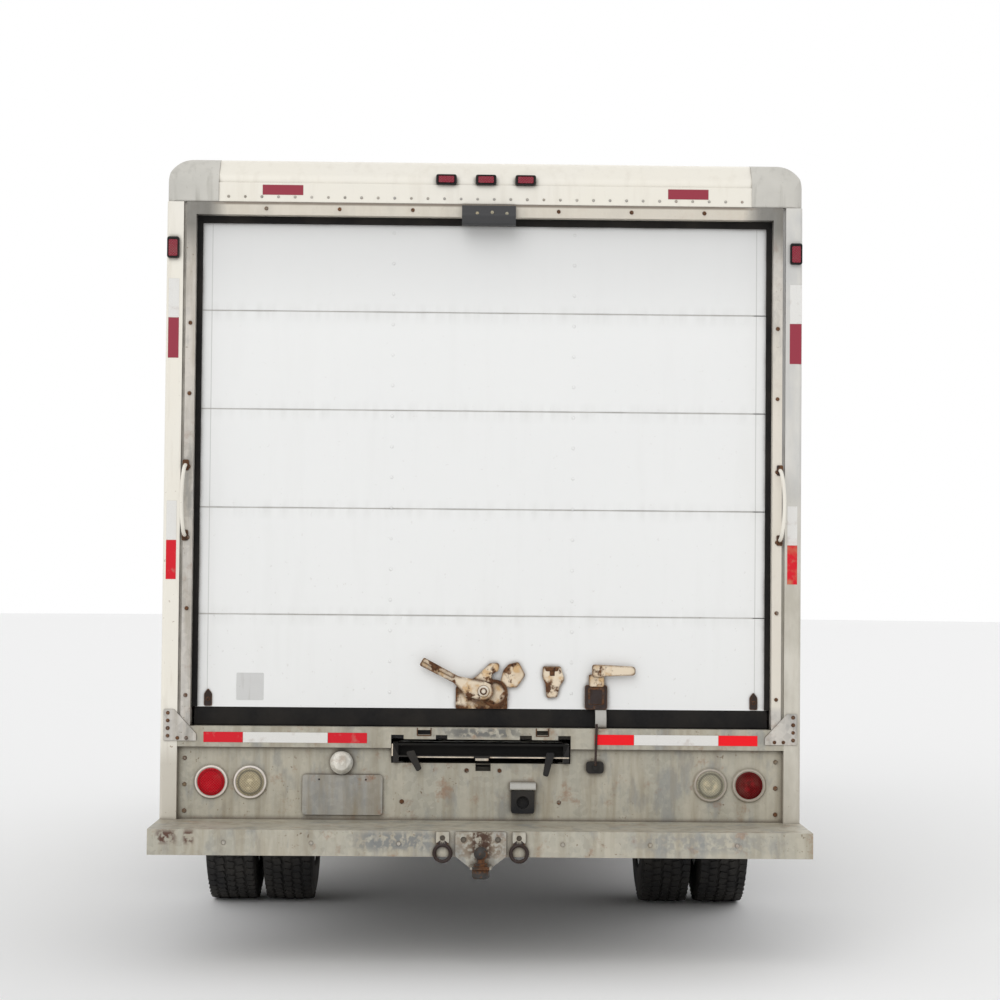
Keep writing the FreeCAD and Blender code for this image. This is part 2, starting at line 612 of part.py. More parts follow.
# Door: (y, z, corner radius); its front edge follows the wheel arch, the post and the windscreen
PILLAR = 110.0
SCREEN_LEAN = (SCREEN_BASE_Y - SCREEN_TOP_Y) / (CAB_ROOF_Z - BELT_Z)
PILLAR_KNEE_Z = BELT_Z + (SCREEN_BASE_Y - PILLAR - DOOR_FRONT_Y) / SCREEN_LEAN
PILLAR_TOP_Y = SCREEN_BASE_Y - PILLAR - SCREEN_LEAN * (DOOR_TOP_Z - BELT_Z)
DOOR_EDGE = [(DOOR_REAR_Y, DOOR_BOTTOM_Z, 60), (DOOR_FOOT_Y, DOOR_BOTTOM_Z, 30),
             (DOOR_FOOT_Y + 20, DOOR_BOTTOM_Z + 110, 120), (DOOR_FRONT_Y, DOOR_BOTTOM_Z + 270, 140),
             (DOOR_FRONT_Y, PILLAR_KNEE_Z, 120), (PILLAR_TOP_Y, DOOR_TOP_Z, 60),
             (DOOR_REAR_Y, DOOR_TOP_Z, 60)]
DOOR_WINDOW = [(DOOR_REAR_Y + 90, BELT_Z + 20, 50), (DOOR_FRONT_Y - 100, BELT_Z + 20, 50),
               (DOOR_FRONT_Y - 100, PILLAR_KNEE_Z - 40, 90), (PILLAR_TOP_Y - 60, DOOR_TOP_Z - 70, 50),
               (DOOR_REAR_Y + 90, DOOR_TOP_Z - 70, 50)]
QUARTER_WINDOW = [(DOOR_FRONT_Y + 50, BELT_Z + 45, 20), (SCREEN_BASE_Y - 110, BELT_Z + 45, 12),
                  (DOOR_FRONT_Y + 50, PILLAR_KNEE_Z - 30, 12)]
WINDSCREEN = [(-880, BELT_Z + 40, 60), (880, BELT_Z + 40, 60), (800, CAB_ROOF_Z - 105, 90),
              (-800, CAB_ROOF_Z - 105, 90)]


def opened(corners, gap, rear_gap):
    # The door's outline grown by the gap, with more room behind the rear edge
    grown = inset(corners, -gap)
    return [(u - rear_gap + gap, v, r) if u < DOOR_REAR_Y else (u, v, r) for u, v, r in grown]


def side_prism(corners, sign):
    inner = CAB_HALF_WIDTH - 260
    return on_side(across(corners, inner, CAB_HALF_WIDTH + 60), sign)


def front_end_region(gap):
    # Everything ahead of the door foot and under the belt, and all ahead of the windscreen
    y0 = DOOR_FOOT_Y + 4 - gap
    return across([(y0, 0, 0), (NOSE_Y, 0, 0), (NOSE_Y, CAB_ROOF_Z, 0),
                   (SCREEN_BASE_Y + PANEL_GAP / 2 - gap, CAB_ROOF_Z, 0),
                   (SCREEN_BASE_Y + PANEL_GAP / 2 - gap, BELT_Z - PANEL_GAP + gap, 0),
                   (y0, BELT_Z - PANEL_GAP + gap, 0)], -CAB_HALF_WIDTH - 20, CAB_HALF_WIDTH + 20)


def hinge_half(base, axis, leaf, pinned):
    # Half of a butt hinge: a barrel and its leaf; the moving half carries the pin
    low = base + axis * (HINGE_LENGTH + 0.5) if pinned else base
    half = Part.makeCylinder(HINGE_R, HINGE_LENGTH, low, axis).fuse(leaf)
    if pinned:
        return half.fuse(Part.makeCylinder(HINGE_PIN_R, HINGE_LENGTH + 1, base, axis))
    return half


def hinge_bore(base, axis):
    # Room for the pin through the fixed half and the panel behind it
    return Part.makeCylinder(HINGE_PIN_R + RUNNING_FIT, HINGE_LENGTH + 2, base - axis, axis)


def hinge_room(base, axis, pinned):
    # Space that the named half of a hinge needs in the panel that it faces
    low = base + axis * (HINGE_LENGTH - 3) if pinned else base - axis * 4
    return Part.makeCylinder(HINGE_R + 4, HINGE_LENGTH + 8, low, axis)


def door_hinge(z, pinned):
    base = V(HINGE_X, HINGE_Y, z)
    low = z + HINGE_LENGTH + 0.5 if pinned else z
    y0 = HINGE_Y - 60 if pinned else HINGE_Y
    leaf = block(CAB_HALF_WIDTH - 12, HINGE_X + 4, y0, y0 + 60, low, low + HINGE_LENGTH)
    return hinge_half(base, V(0, 0, 1), leaf, pinned)


def hood_hinge(x, pinned):
    base = V(x, HOOD_HINGE_Y, HOOD_HINGE_Z)
    low = x + HINGE_LENGTH + 0.5 if pinned else x
    y0 = HOOD_HINGE_Y if pinned else HOOD_HINGE_Y - 34
    leaf = block(low, low + HINGE_LENGTH, y0, y0 + 34, HOOD_HINGE_Z - 18, HOOD_HINGE_Z)
    return hinge_half(base, V(1, 0, 0), leaf, pinned)


def cab_shell(skin):
    shell = skin.cut(front_end_region(PANEL_GAP))
    for sign in (-1, 1):
        shell = shell.cut(side_prism(opened(DOOR_EDGE, PANEL_GAP, DOOR_REAR_GAP), sign))
        shell = shell.cut(side_prism(QUARTER_WINDOW, sign))
    shell = shell.cut(along(WINDSCREEN, SCREEN_TOP_Y - 200, NOSE_Y))
    inside = CAB_HALF_WIDTH - CAB_WALL - PANEL_GAP
    low = FLOOR_Z - FLOOR_PLATE
    step_y = DOOR_FOOT_Y + 40
    # Floor, toe-board and firewall in one pressing: (y, z, corner radius)
    pressing = [(CAB_BACK_Y + 20, low, 0), (step_y, low, 20), (step_y + 30, low + TOE_RISE, 20),
                (FIREWALL_Y + 30, low + TOE_RISE, 0), (FIREWALL_Y + 30, BELT_Z + 6, 0),
                (FIREWALL_Y, BELT_Z + 6, 0), (FIREWALL_Y, FLOOR_Z + TOE_RISE, 60),
                (step_y + 30, FLOOR_Z + TOE_RISE, 20), (step_y, FLOOR_Z, 20), (CAB_BACK_Y + 20, FLOOR_Z, 0)]
    under = CAB_HALF_WIDTH - 140
    shell = shell.cut(block(-under, under, CAB_BACK_Y - 10, DOOR_FOOT_Y, 0, low))
    pieces = [shell, across(pressing, -inside, inside)]
    tunnel_back = FRONT_AXLE_Y - ENGINE_BACK - 40
    tunnel = ENGINE_HALF_WIDTH + 32
    pieces.append(block(-tunnel, tunnel, tunnel_back, FIREWALL_Y + 10, low + TOE_RISE, ENGINE_TOP + 35))
    for x0 in (-inside, inside - 24):
        pieces.append(block(x0, x0 + 24, DOOR_FRONT_Y - 30, FIREWALL_Y + 30, low + TOE_RISE, BELT_Z - 20))
    well_end = DOOR_FOOT_Y - 8
    for sign in (-1, 1):
        tread = block(inside - 70, CAB_HALF_WIDTH - 20, CAB_BACK_Y + 60, well_end, CAB_SILL_Z + 36,
                      CAB_SILL_Z + 60)
        riser = block(inside - 70, inside - 50, CAB_BACK_Y + 60, well_end, CAB_SILL_Z + 36, FLOOR_Z - 10)
        pieces += [on_side(tread, sign), on_side(riser, sign)]
        for y in (CAB_BACK_Y + 160, DOOR_FOOT_Y - 60):
            pieces.append(on_side(block(RAIL_X - 50, RAIL_X, y - 30, y + 30, RAIL_TOP, low + 5), sign))
    shell = joined(pieces)
    room = tunnel - 17
    shell = shell.cut(block(-room, room, tunnel_back + 17, FIREWALL_Y + 40, 0, ENGINE_TOP + 18))
    for x in (-HOOD_HINGE_X, HOOD_HINGE_X):
        base = V(x, HOOD_HINGE_Y, HOOD_HINGE_Z)
        shell = shell.cut(hinge_room(base, V(1, 0, 0), True))
        shell = shell.fuse(hood_hinge(x, False))
        shell = shell.cut(hinge_bore(base, V(1, 0, 0)))
    return [shell.removeSplitter()]


def hood(skin):
    # Bonnet with the upper lip of the nose, hinged at its rear edge
    region = block(-HOOD_HALF + PANEL_GAP, HOOD_HALF - PANEL_GAP, SCREEN_BASE_Y + PANEL_GAP + 3, NOSE_Y,
                   HOOD_SPLIT_Z + PANEL_GAP, CAB_ROOF_Z)
    solid = skin.common(region)
    for x in (-HOOD_HINGE_X, HOOD_HINGE_X):
        solid = solid.cut(hinge_room(V(x, HOOD_HINGE_Y, HOOD_HINGE_Z), V(1, 0, 0), False))
        solid = solid.fuse(hood_hinge(x, True))
    return [solid.removeSplitter()]


def front_fenders(skin):
    # Outer wings, cut for the wheels, with an inner apron that stands on each rail
    region = block(HOOD_HALF, CAB_HALF_WIDTH + 10, DOOR_FOOT_Y + 4, NOSE_Y, CAB_SILL_Z, BELT_Z - PANEL_GAP)
    region = region.common(front_end_region(0))
    wing = skin.common(region)
    wing = wing.cut(side_prism(opened(DOOR_EDGE, PANEL_GAP, DOOR_REAR_GAP), 1))
    wing = wing.cut(rod(ARCH_R, (HOOD_HALF - 200, FRONT_AXLE_Y, AXLE_Z),
                        (CAB_HALF_WIDTH + 20, FRONT_AXLE_Y, AXLE_Z)))
    wing = wing.cut(block(0, CAB_HALF_WIDTH + 20, FRONT_AXLE_Y, NOSE_Y, 0, FRONT_LOW_Z))
    wing = wing.cut(block(0, CAB_HALF_WIDTH - CAB_WALL, DOOR_FOOT_Y, FIREWALL_Y + 36, 0, BELT_Z))
    wing = wing.cut(block(0, CAB_HALF_WIDTH + 20, DOOR_FOOT_Y, FRONT_AXLE_Y - ARCH_R + 60, 0,
                          DOOR_BOTTOM_Z - 30))
    apron_y0 = FIREWALL_Y + 40
    apron_z = AXLE_Z + ARCH_R + 18
    apron = block(RAIL_X - 12, CAB_HALF_WIDTH - CAB_WALL - 20, apron_y0, GRILLE_Y - 110, apron_z,
                  apron_z + 12)
    ends = block(CAB_HALF_WIDTH - CAB_WALL - 30, CAB_HALF_WIDTH - 20, apron_y0, FRONT_AXLE_Y + 400,
                 apron_z, apron_z + 12)
    ends = ends.common(cab_form(10))
    leg = block(RAIL_X - 12, RAIL_X, apron_y0, FRONT_AXLE_Y + 590, RAIL_TOP, apron_z + 12)
    solid = joined([wing, apron, ends, leg])
    for z in HINGE_HEIGHTS:
        solid = solid.cut(hinge_room(V(HINGE_X, HINGE_Y, z), V(0, 0, 1), True))
        solid = solid.fuse(door_hinge(z, False))
        solid = solid.cut(hinge_bore(V(HINGE_X, HINGE_Y, z), V(0, 0, 1)))
    return both_sides(solid.removeSplitter())


GRILLE_HALF = 470.0
GRILLE_TOP_Z = HOOD_SPLIT_Z - 40
GRILLE_BOTTOM_Z = HOOD_SPLIT_Z - 290
SLATS = 5
LAMP_X = 520.0
LAMP_WIDTH = 230.0
LAMP_LOW_Z = GRILLE_BOTTOM_Z + 70


def lamp_opening(sign):
    corners = frame_corners(LAMP_X, LAMP_X + LAMP_WIDTH, LAMP_LOW_Z, GRILLE_TOP_Z, 24)
    return on_side(along(corners, GRILLE_Y - 220, NOSE_Y), sign)


def grille(skin):
    # Nose panel between the wings, open at the grille and the lamps, with slats across the opening
    panel = skin.common(block(-HOOD_HALF, HOOD_HALF, GRILLE_Y - 260, NOSE_Y, FRONT_LOW_Z, HOOD_SPLIT_Z))
    corners = frame_corners(-GRILLE_HALF, GRILLE_HALF, GRILLE_BOTTOM_Z, GRILLE_TOP_Z, 40)
    panel = panel.cut(along(corners, GRILLE_Y - 260, NOSE_Y))
    panel = panel.cut(lamp_opening(1)).cut(lamp_opening(-1))
    bars = []
    pitch = (GRILLE_TOP_Z - GRILLE_BOTTOM_Z) / (SLATS + 1)
    layer = cab_skin(6, 26)
    for i in range(SLATS):
        z = GRILLE_BOTTOM_Z + pitch * (i + 1)
        bars.append(layer.common(block(-GRILLE_HALF - 2, GRILLE_HALF + 2, GRILLE_Y - 160, NOSE_Y, z - 9,
                                       z + 9)))
    return [joined([panel] + bars)]


def headlamps():
    layer = cab_skin(2, 40)
    return [layer.common(lamp_opening(sign)) for sign in (-1, 1)]


BUMPER_Z = (RAIL_BOTTOM - 100, RAIL_BOTTOM + 96)
FRONT_BUMPER_WALL = 40.0


def front_bumper():
    # Wrapped beam on two brackets that run back to the rails: (x, y, corner radius)
    wide = CAB_HALF_WIDTH + 8
    corners = [(-wide, FRONT_AXLE_Y + 500, 0), (-wide, NOSE_Y - 190, 60), (-wide + 260, NOSE_Y, 700),
               (wide - 260, NOSE_Y, 700), (wide, NOSE_Y - 190, 60), (wide, FRONT_AXLE_Y + 500, 0)]
    beam = upward(corners, *BUMPER_Z)
    room = inset(corners, FRONT_BUMPER_WALL)
    room = [(x, y - FRONT_BUMPER_WALL - 5 if y < FRONT_AXLE_Y + 600 else y, r) for x, y, r in room]
    beam = beam.cut(upward(room, BUMPER_Z[0] - 1, BUMPER_Z[1] + 1))
    bracket = block(RAIL_X - 50, RAIL_X, FRONT_AXLE_Y + 600, NOSE_Y - FRONT_BUMPER_WALL + 6,
                    RAIL_BOTTOM + 10, BUMPER_Z[1] - 12)
    return [joined([beam] + both_sides(bracket))]


def windscreen():
    # Screen and the two fixed quarter lights
    layer = cab_skin(GLASS_DEPTH, GLASS_THICK)
    pane = layer.common(along(WINDSCREEN, SCREEN_TOP_Y - 200, NOSE_Y))
    return [pane] + [layer.common(side_prism(QUARTER_WINDOW, sign)) for sign in (-1, 1)]


def cab_door(sign, skin):
    solid = skin.common(side_prism(DOOR_EDGE, 1)).cut(side_prism(DOOR_WINDOW, 1))
    for z in HINGE_HEIGHTS:
        solid = solid.cut(hinge_room(V(HINGE_X, HINGE_Y, z), V(0, 0, 1), False))
        solid = solid.fuse(door_hinge(z, True))
    handle_y = DOOR_REAR_Y + 70
    handle = along(frame_corners(CAB_HALF_WIDTH - 6, CAB_HALF_WIDTH + 26, BELT_Z - 150, BELT_Z - 122, 10),
                   handle_y, handle_y + 170)
    slot = block(CAB_HALF_WIDTH - 2, CAB_HALF_WIDTH + 14, handle_y + 22, handle_y + 148,
                 BELT_Z - 160, BELT_Z - 110)
    return [on_side(solid.fuse(handle.cut(slot)).removeSplitter(), sign)]


def door_glass(sign):
    return [cab_skin(GLASS_DEPTH, GLASS_THICK).common(side_prism(DOOR_WINDOW, sign))]


MIRROR_Y = DOOR_FRONT_Y - 130
MIRROR_X = CAB_HALF_WIDTH + 90
MIRROR_WIDTH = 200.0
MIRROR_HEIGHT = 370.0


def mirror(sign):
    # Upright head on two arms from the door's front corner
    z0 = BELT_Z + 10
    head = upward([(MIRROR_X, MIRROR_Y - 50, 12), (MIRROR_X + MIRROR_WIDTH, MIRROR_Y - 50, 12),
                   (MIRROR_X + MIRROR_WIDTH, MIRROR_Y + 10, 40), (MIRROR_X + 30, MIRROR_Y + 40, 40)],
                  z0, z0 + MIRROR_HEIGHT)
    head = head.cut(block(MIRROR_X + 12, MIRROR_X + MIRROR_WIDTH - 12, MIRROR_Y - 60, MIRROR_Y - 44,
                          z0 + 12, z0 + MIRROR_HEIGHT - 12))
    arms = []
    for z in (BELT_Z - 60, BELT_Z - 20):
        arms.append(rod(11, (CAB_HALF_WIDTH - 4, MIRROR_Y, z), (MIRROR_X + 70, MIRROR_Y, z)))
    post = rod(14, (MIRROR_X + 60, MIRROR_Y, BELT_Z - 72), (MIRROR_X + 60, MIRROR_Y, z0 + 20))
    foot = block(CAB_HALF_WIDTH, CAB_HALF_WIDTH + 10, MIRROR_Y - 45, MIRROR_Y + 45, BELT_Z - 85, BELT_Z + 2)
    solid = joined([head, post, foot] + arms)
    solid = solid.cut(block(0, CAB_HALF_WIDTH, MIRROR_Y - 90, MIRROR_Y + 90, 0, CAB_ROOF_Z))
    return [on_side(solid, sign)]


SEAT_X = 480.0
SEAT_WIDTH = 500.0
SEAT_BACK_Y = CAB_BACK_Y + 190


def cab_seats():
    # Pedestal, cushion, back and head restraint, drawn across in one side outline each
    seats = []
    z = FLOOR_Z
    y = SEAT_BACK_Y
    shapes = [(120, [(y + 90, z, 0), (y + 520, z, 0), (y + 480, z + 255, 0), (y + 110, z + 255, 0)]),
              (SEAT_WIDTH / 2, [(y + 60, z + 230, 30), (y + 590, z + 245, 30), (y + 600, z + 375, 55),
                                (y + 60, z + 350, 30)]),
              (SEAT_WIDTH / 2 - 10, [(y + 60, z + 300, 20), (y + 190, z + 340, 30), (y + 110, z + 920, 50),
                                     (y - 20, z + 920, 50)]),
              (120, [(y + 10, z + 900, 0), (y + 90, z + 900, 0), (y + 95, z + 1120, 35), (y, z + 1120, 35)])]
    for sign in (-1, 1):
        seat = joined([across(corners, -half, half) for half, corners in shapes])
        seat.translate(V(sign * SEAT_X, 0, 0))
        seats.append(seat)
    return seats


WHEEL_CENTRE = V(-SEAT_X, FRONT_AXLE_Y - 340, BELT_Z + 10)
COLUMN_LEAN = 45.0         # degrees between the column and the floor
COLUMN = V(0, math.cos(math.radians(COLUMN_LEAN)), -math.sin(math.radians(COLUMN_LEAN)))
COLUMN_R = 30.0
COLUMN_START = 70.0        # centre of the wheel to the end of the column


def dashboard():
    # Facia against the firewall, instrument hood and the steering column
    y = FIREWALL_Y
    low = ENGINE_TOP + 50
    corners = [(y, low, 0), (y, BELT_Z - 24, 0), (y - 170, BELT_Z - 30, 50), (y - 250, BELT_Z - 120, 40),
               (y - 190, low, 40)]
    facia = across(corners, -(CAB_HALF_WIDTH - CAB_WALL - 36), CAB_HALF_WIDTH - CAB_WALL - 36)
    binnacle = across([(y - 60, BELT_Z - 60, 0), (y - 80, BELT_Z + 20, 30), (y - 220, BELT_Z + 10, 30),
                       (y - 240, BELT_Z - 110, 20)], -SEAT_X - 190, -SEAT_X + 190)
    start = WHEEL_CENTRE + COLUMN * COLUMN_START
    column = Part.makeCylinder(COLUMN_R, 260, start, COLUMN)
    solid = joined([facia, binnacle, column])
    bore = Part.makeCylinder(12 + RUNNING_FIT, 61, start - COLUMN, COLUMN)
    return [solid.cut(bore)]


def steering_wheel():
    rim = Part.makeTorus(190, 15, V(0, 0, 0), V(0, 0, 1))
    hub = Part.makeCylinder(48, 50, V(0, 0, 0), V(0, 0, 1))
    spokes = [block(0, 186, -16, 16, -6, 8) for turn in range(3)]
    pieces = [rim, hub]
    for i, spoke in enumerate(spokes):
        spoke.rotate(V(0, 0, 0), V(0, 0, 1), 90 + 120 * i)
        pieces.append(spoke)
    pieces.append(Part.makeCylinder(12, COLUMN_START + 56, V(0, 0, 0), V(0, 0, 1)))
    solid = joined(pieces)
    solid.Placement = FreeCAD.Placement(WHEEL_CENTRE, FreeCAD.Rotation(V(0, 0, 1), COLUMN))
    return [solid]


# ---------------------------------------------------------------- box

BODY_X = BODY_WIDTH / 2
RUB_RAIL = 6.0             # stand-off of the rails from the side sheets
SHEET_X = BODY_X - RUB_RAIL
WALL_THICK = 34.0
WALL_INNER_X = SHEET_X - WALL_THICK
SIDE_LOW_Z = DECK_TOP - 74
ROOF_THICK = 40.0
ROOF_TOP = DECK_TOP + 2120
WALL_TOP = ROOF_TOP - ROOF_THICK
POST_DEPTH = 110.0
FRONT_CORNER_R = 120.0
FRONT_EDGE_R = 34.0
SILL_IN_X = RAIL_X - 47
OUTRIGGERS = 11
OUTRIGGER_WIDTH = 44.0
OUTRIGGER_HEIGHT = 60.0


def box_floor():
    # Deck, two long sills on the rails and outriggers between the sills and the sides
    start = REAR_Y + SILL_DEPTH
    end = BOX_FRONT_Y - FRONT_CORNER_R
    low = DECK_TOP - FLOOR_THICK
    deck = block(-WALL_INNER_X, WALL_INNER_X, start, end, low, DECK_TOP)
    pieces = [deck]
    pieces += both_sides(block(SILL_IN_X, RAIL_X, start, end, RAIL_TOP, low))
    pitch = (end - start - OUTRIGGER_WIDTH) / (OUTRIGGERS - 1)
    for i in range(OUTRIGGERS):
        y = start + pitch * i
        arm = block(RAIL_X, WALL_INNER_X, y, y + OUTRIGGER_WIDTH, low - OUTRIGGER_HEIGHT, low)
        groove = block(RAIL_X, WALL_INNER_X, y + 5, y + OUTRIGGER_WIDTH + 1, low - OUTRIGGER_HEIGHT + 5,
                       low - 5)
        pieces += both_sides(arm.cut(groove))
    post_room = block(POST_FACE_X, WALL_INNER_X + 1, start - 1, REAR_Y + POST_DEPTH, 0, DECK_TOP + 1)
    return [joined(pieces).cut(Part.makeCompound(both_sides(post_room)))]


def box_side_walls():
    # Side sheets with a rub rail along the foot and the top
    y0 = REAR_Y + POST_DEPTH
    y1 = BOX_FRONT_Y - FRONT_CORNER_R
    sheet = block(WALL_INNER_X, SHEET_X, y0, y1, SIDE_LOW_Z, WALL_TOP)
    foot = block(SHEET_X, BODY_X, y0, y1, SIDE_LOW_Z, DECK_TOP + 6)
    top = block(SHEET_X, BODY_X, y0, y1, WALL_TOP - 70, WALL_TOP)
    return both_sides(joined([sheet, foot, top]))


def box_front_wall():
    # Wall with rounded front corners
    y0 = BOX_FRONT_Y - FRONT_CORNER_R
    outer = [(-SHEET_X, y0, 0), (SHEET_X, y0, 0), (SHEET_X, BOX_FRONT_Y, FRONT_CORNER_R - 1),
             (-SHEET_X, BOX_FRONT_Y, FRONT_CORNER_R - 1)]
    inner = [(-WALL_INNER_X, y0 - 1, 0), (WALL_INNER_X, y0 - 1, 0),
             (WALL_INNER_X, BOX_FRONT_Y - WALL_THICK, FRONT_CORNER_R - WALL_THICK - 1),
             (-WALL_INNER_X, BOX_FRONT_Y - WALL_THICK, FRONT_CORNER_R - WALL_THICK - 1)]
    wall = upward(outer, SIDE_LOW_Z, WALL_TOP)
    return [wall.cut(upward(inner, SIDE_LOW_Z - 1, WALL_TOP + 1))]


def box_roof():
    # Roof with rounded long edges and a lowered rounded front edge
    y0 = REAR_Y + POST_DEPTH
    section = along([(-BODY_X, WALL_TOP, 0), (BODY_X, WALL_TOP, 0), (BODY_X, ROOF_TOP, 30),
                     (-BODY_X, ROOF_TOP, 30)], y0, BOX_FRONT_Y)
    side = across([(y0, WALL_TOP, 0), (BOX_FRONT_Y, WALL_TOP, 0), (BOX_FRONT_Y, ROOF_TOP, FRONT_EDGE_R),
                   (y0, ROOF_TOP, 0)], -BODY_X, BODY_X)
    plan = upward([(-BODY_X, y0, 0), (BODY_X, y0, 0), (BODY_X, BOX_FRONT_Y, FRONT_CORNER_R),
                   (-BODY_X, BOX_FRONT_Y, FRONT_CORNER_R)], WALL_TOP, ROOF_TOP)
    return [section.common(side).common(plan)]


# ---------------------------------------------------------------- rear frame

POST_IN_X = BODY_X - 76
POST_FACE_X = BODY_X - 64
RAIL_STRIP = 36.0
OPENING_X = POST_IN_X - RAIL_STRIP
STRIP_THICK = 6.0
POST_BOTTOM = RAIL_BOTTOM - 10
SILL_TOP = DECK_TOP + 4
SILL_DEPTH = 40.0
SILL_PLATE = 5.0
APRON_DEPTH = 36.0
APRON_PLATE = 6.0
APRON_BOTTOM = POST_BOTTOM
APRON_Y = REAR_Y + APRON_DEPTH - APRON_PLATE
HEADER_LOW = DECK_TOP + 2006
HEADER_TOP = DECK_TOP + 2181
HEADER_STRIP = 48.0
CAP_X = 1023.0
CAP_CORNER_R = 108.0
FLANGE_TOP = HEADER_LOW + 74

# Rear header from the side: (y, z, corner radius)
HEADER_SIDE = [(REAR_Y + POST_DEPTH, HEADER_LOW, 0), (REAR_Y, HEADER_LOW, 5), (REAR_Y, FLANGE_TOP, 3),
               (REAR_Y + 5, FLANGE_TOP + 4, 0), (REAR_Y + 5, FLANGE_TOP + 28, 50),
               (REAR_Y + 66, HEADER_TOP, 60), (REAR_Y + POST_DEPTH, HEADER_TOP, 0)]


def rear_posts():
    # Corner posts: full width above the sill, with a groove beside the track strip
    y1 = REAR_Y + POST_DEPTH
    upper = upward([(POST_IN_X, REAR_Y, 0), (BODY_X, REAR_Y, 14), (BODY_X, y1, 0), (POST_IN_X, y1, 0)],
                   SILL_TOP, HEADER_LOW)
    groove = block(POST_IN_X - 1, POST_FACE_X, REAR_Y - 1, REAR_Y + 16, SILL_TOP - 1, HEADER_LOW + 1)
    lower = upward([(POST_FACE_X, REAR_Y, 0), (BODY_X, REAR_Y, 14), (BODY_X, y1, 0), (POST_FACE_X, y1, 0)],
                   POST_BOTTOM, SILL_TOP)
    return both_sides(joined([upper.cut(groove), lower]))


GUSSET_THICK = 4.0


def gussets():
    # Corner plates over the joint of post and sill: (x, z, corner radius)
    corners = [(BODY_X - 137, SILL_TOP - 56, 3), (BODY_X - 13, SILL_TOP - 56, 3),
               (BODY_X - 13, SILL_TOP + 62, 3),
               (BODY_X - 52, SILL_TOP + 62, 4), (BODY_X - 137, SILL_TOP - 30, 4)]
    return both_sides(along(corners, REAR_Y - GUSSET_THICK, REAR_Y))


def door_surround():
    # Galvanised strips: one down each post, returned into the opening, and one under the header
    y1 = REAR_Y + POST_DEPTH
    top = HEADER_LOW
    strip = block(OPENING_X, POST_IN_X, REAR_Y, REAR_Y + STRIP_THICK, SILL_TOP, top)
    back = block(OPENING_X, OPENING_X + STRIP_THICK, REAR_Y, y1, SILL_TOP, top)
    head = block(-OPENING_X, OPENING_X, REAR_Y, REAR_Y + STRIP_THICK, top - HEADER_STRIP, top)
    ledge = block(-OPENING_X, OPENING_X, REAR_Y, DOOR_Y - 1, top - HEADER_STRIP,
                  top - HEADER_STRIP + STRIP_THICK)
    return [joined(both_sides(strip) + both_sides(back) + [head, ledge] + gussets())]


def rear_header():
    return [across(HEADER_SIDE, -CAP_X, CAP_X)]


def header_caps():
    # Cast corner caps, rounded in both views and a little proud of the header
    side = [(REAR_Y + POST_DEPTH, HEADER_LOW, 0), (REAR_Y - 3, HEADER_LOW, 8),
            (REAR_Y - 3, HEADER_LOW + 96, 95),
            (REAR_Y + 60, HEADER_TOP, 62), (REAR_Y + POST_DEPTH, HEADER_TOP, 0)]
    front = [(CAP_X, HEADER_LOW, 0), (BODY_X, HEADER_LOW, 10), (BODY_X, HEADER_TOP, CAP_CORNER_R),
             (CAP_X, HEADER_TOP, 0)]
    plan = [(CAP_X, REAR_Y - 3, 0), (BODY_X, REAR_Y - 3, 40), (BODY_X, REAR_Y + POST_DEPTH, 0),
            (CAP_X, REAR_Y + POST_DEPTH, 0)]
    cap = across(side, CAP_X, BODY_X).common(along(front, REAR_Y - 10, REAR_Y + POST_DEPTH))
    return both_sides(cap.common(upward(plan, HEADER_LOW, HEADER_TOP)))


SLOT_HALF = RAIL_X - 90
SLOT_TOP = DECK_TOP - 47
SLOT_BOTTOM = RAIL_TOP + 7
NOTCH_TOP = DECK_TOP - 24
# Cut-outs over the ramp slot: (x0, x1, top)
SLOT_NOTCHES = [(-SLOT_HALF, -SLOT_HALF + 48, NOTCH_TOP), (-172, -128, NOTCH_TOP), (148, 194, NOTCH_TOP),
                (SLOT_HALF - 48, SLOT_HALF, NOTCH_TOP)]
# Hook holes for the ramp in the sill: (x0, x1)
HOOK_HOLES = [(-242, -191), (211, 257)]
LATCH_NOTCH = (-20, 38)
LATCH_DEPTH = 29.0
TAIL_LAMP_X = 1026.0
REVERSE_LAMP_X = 878.0
LAMP_Z = DECK_TOP - 209
LENS_R = 52.0
FLANGE_R = 67.0
FLANGE_HEIGHT = 9.0


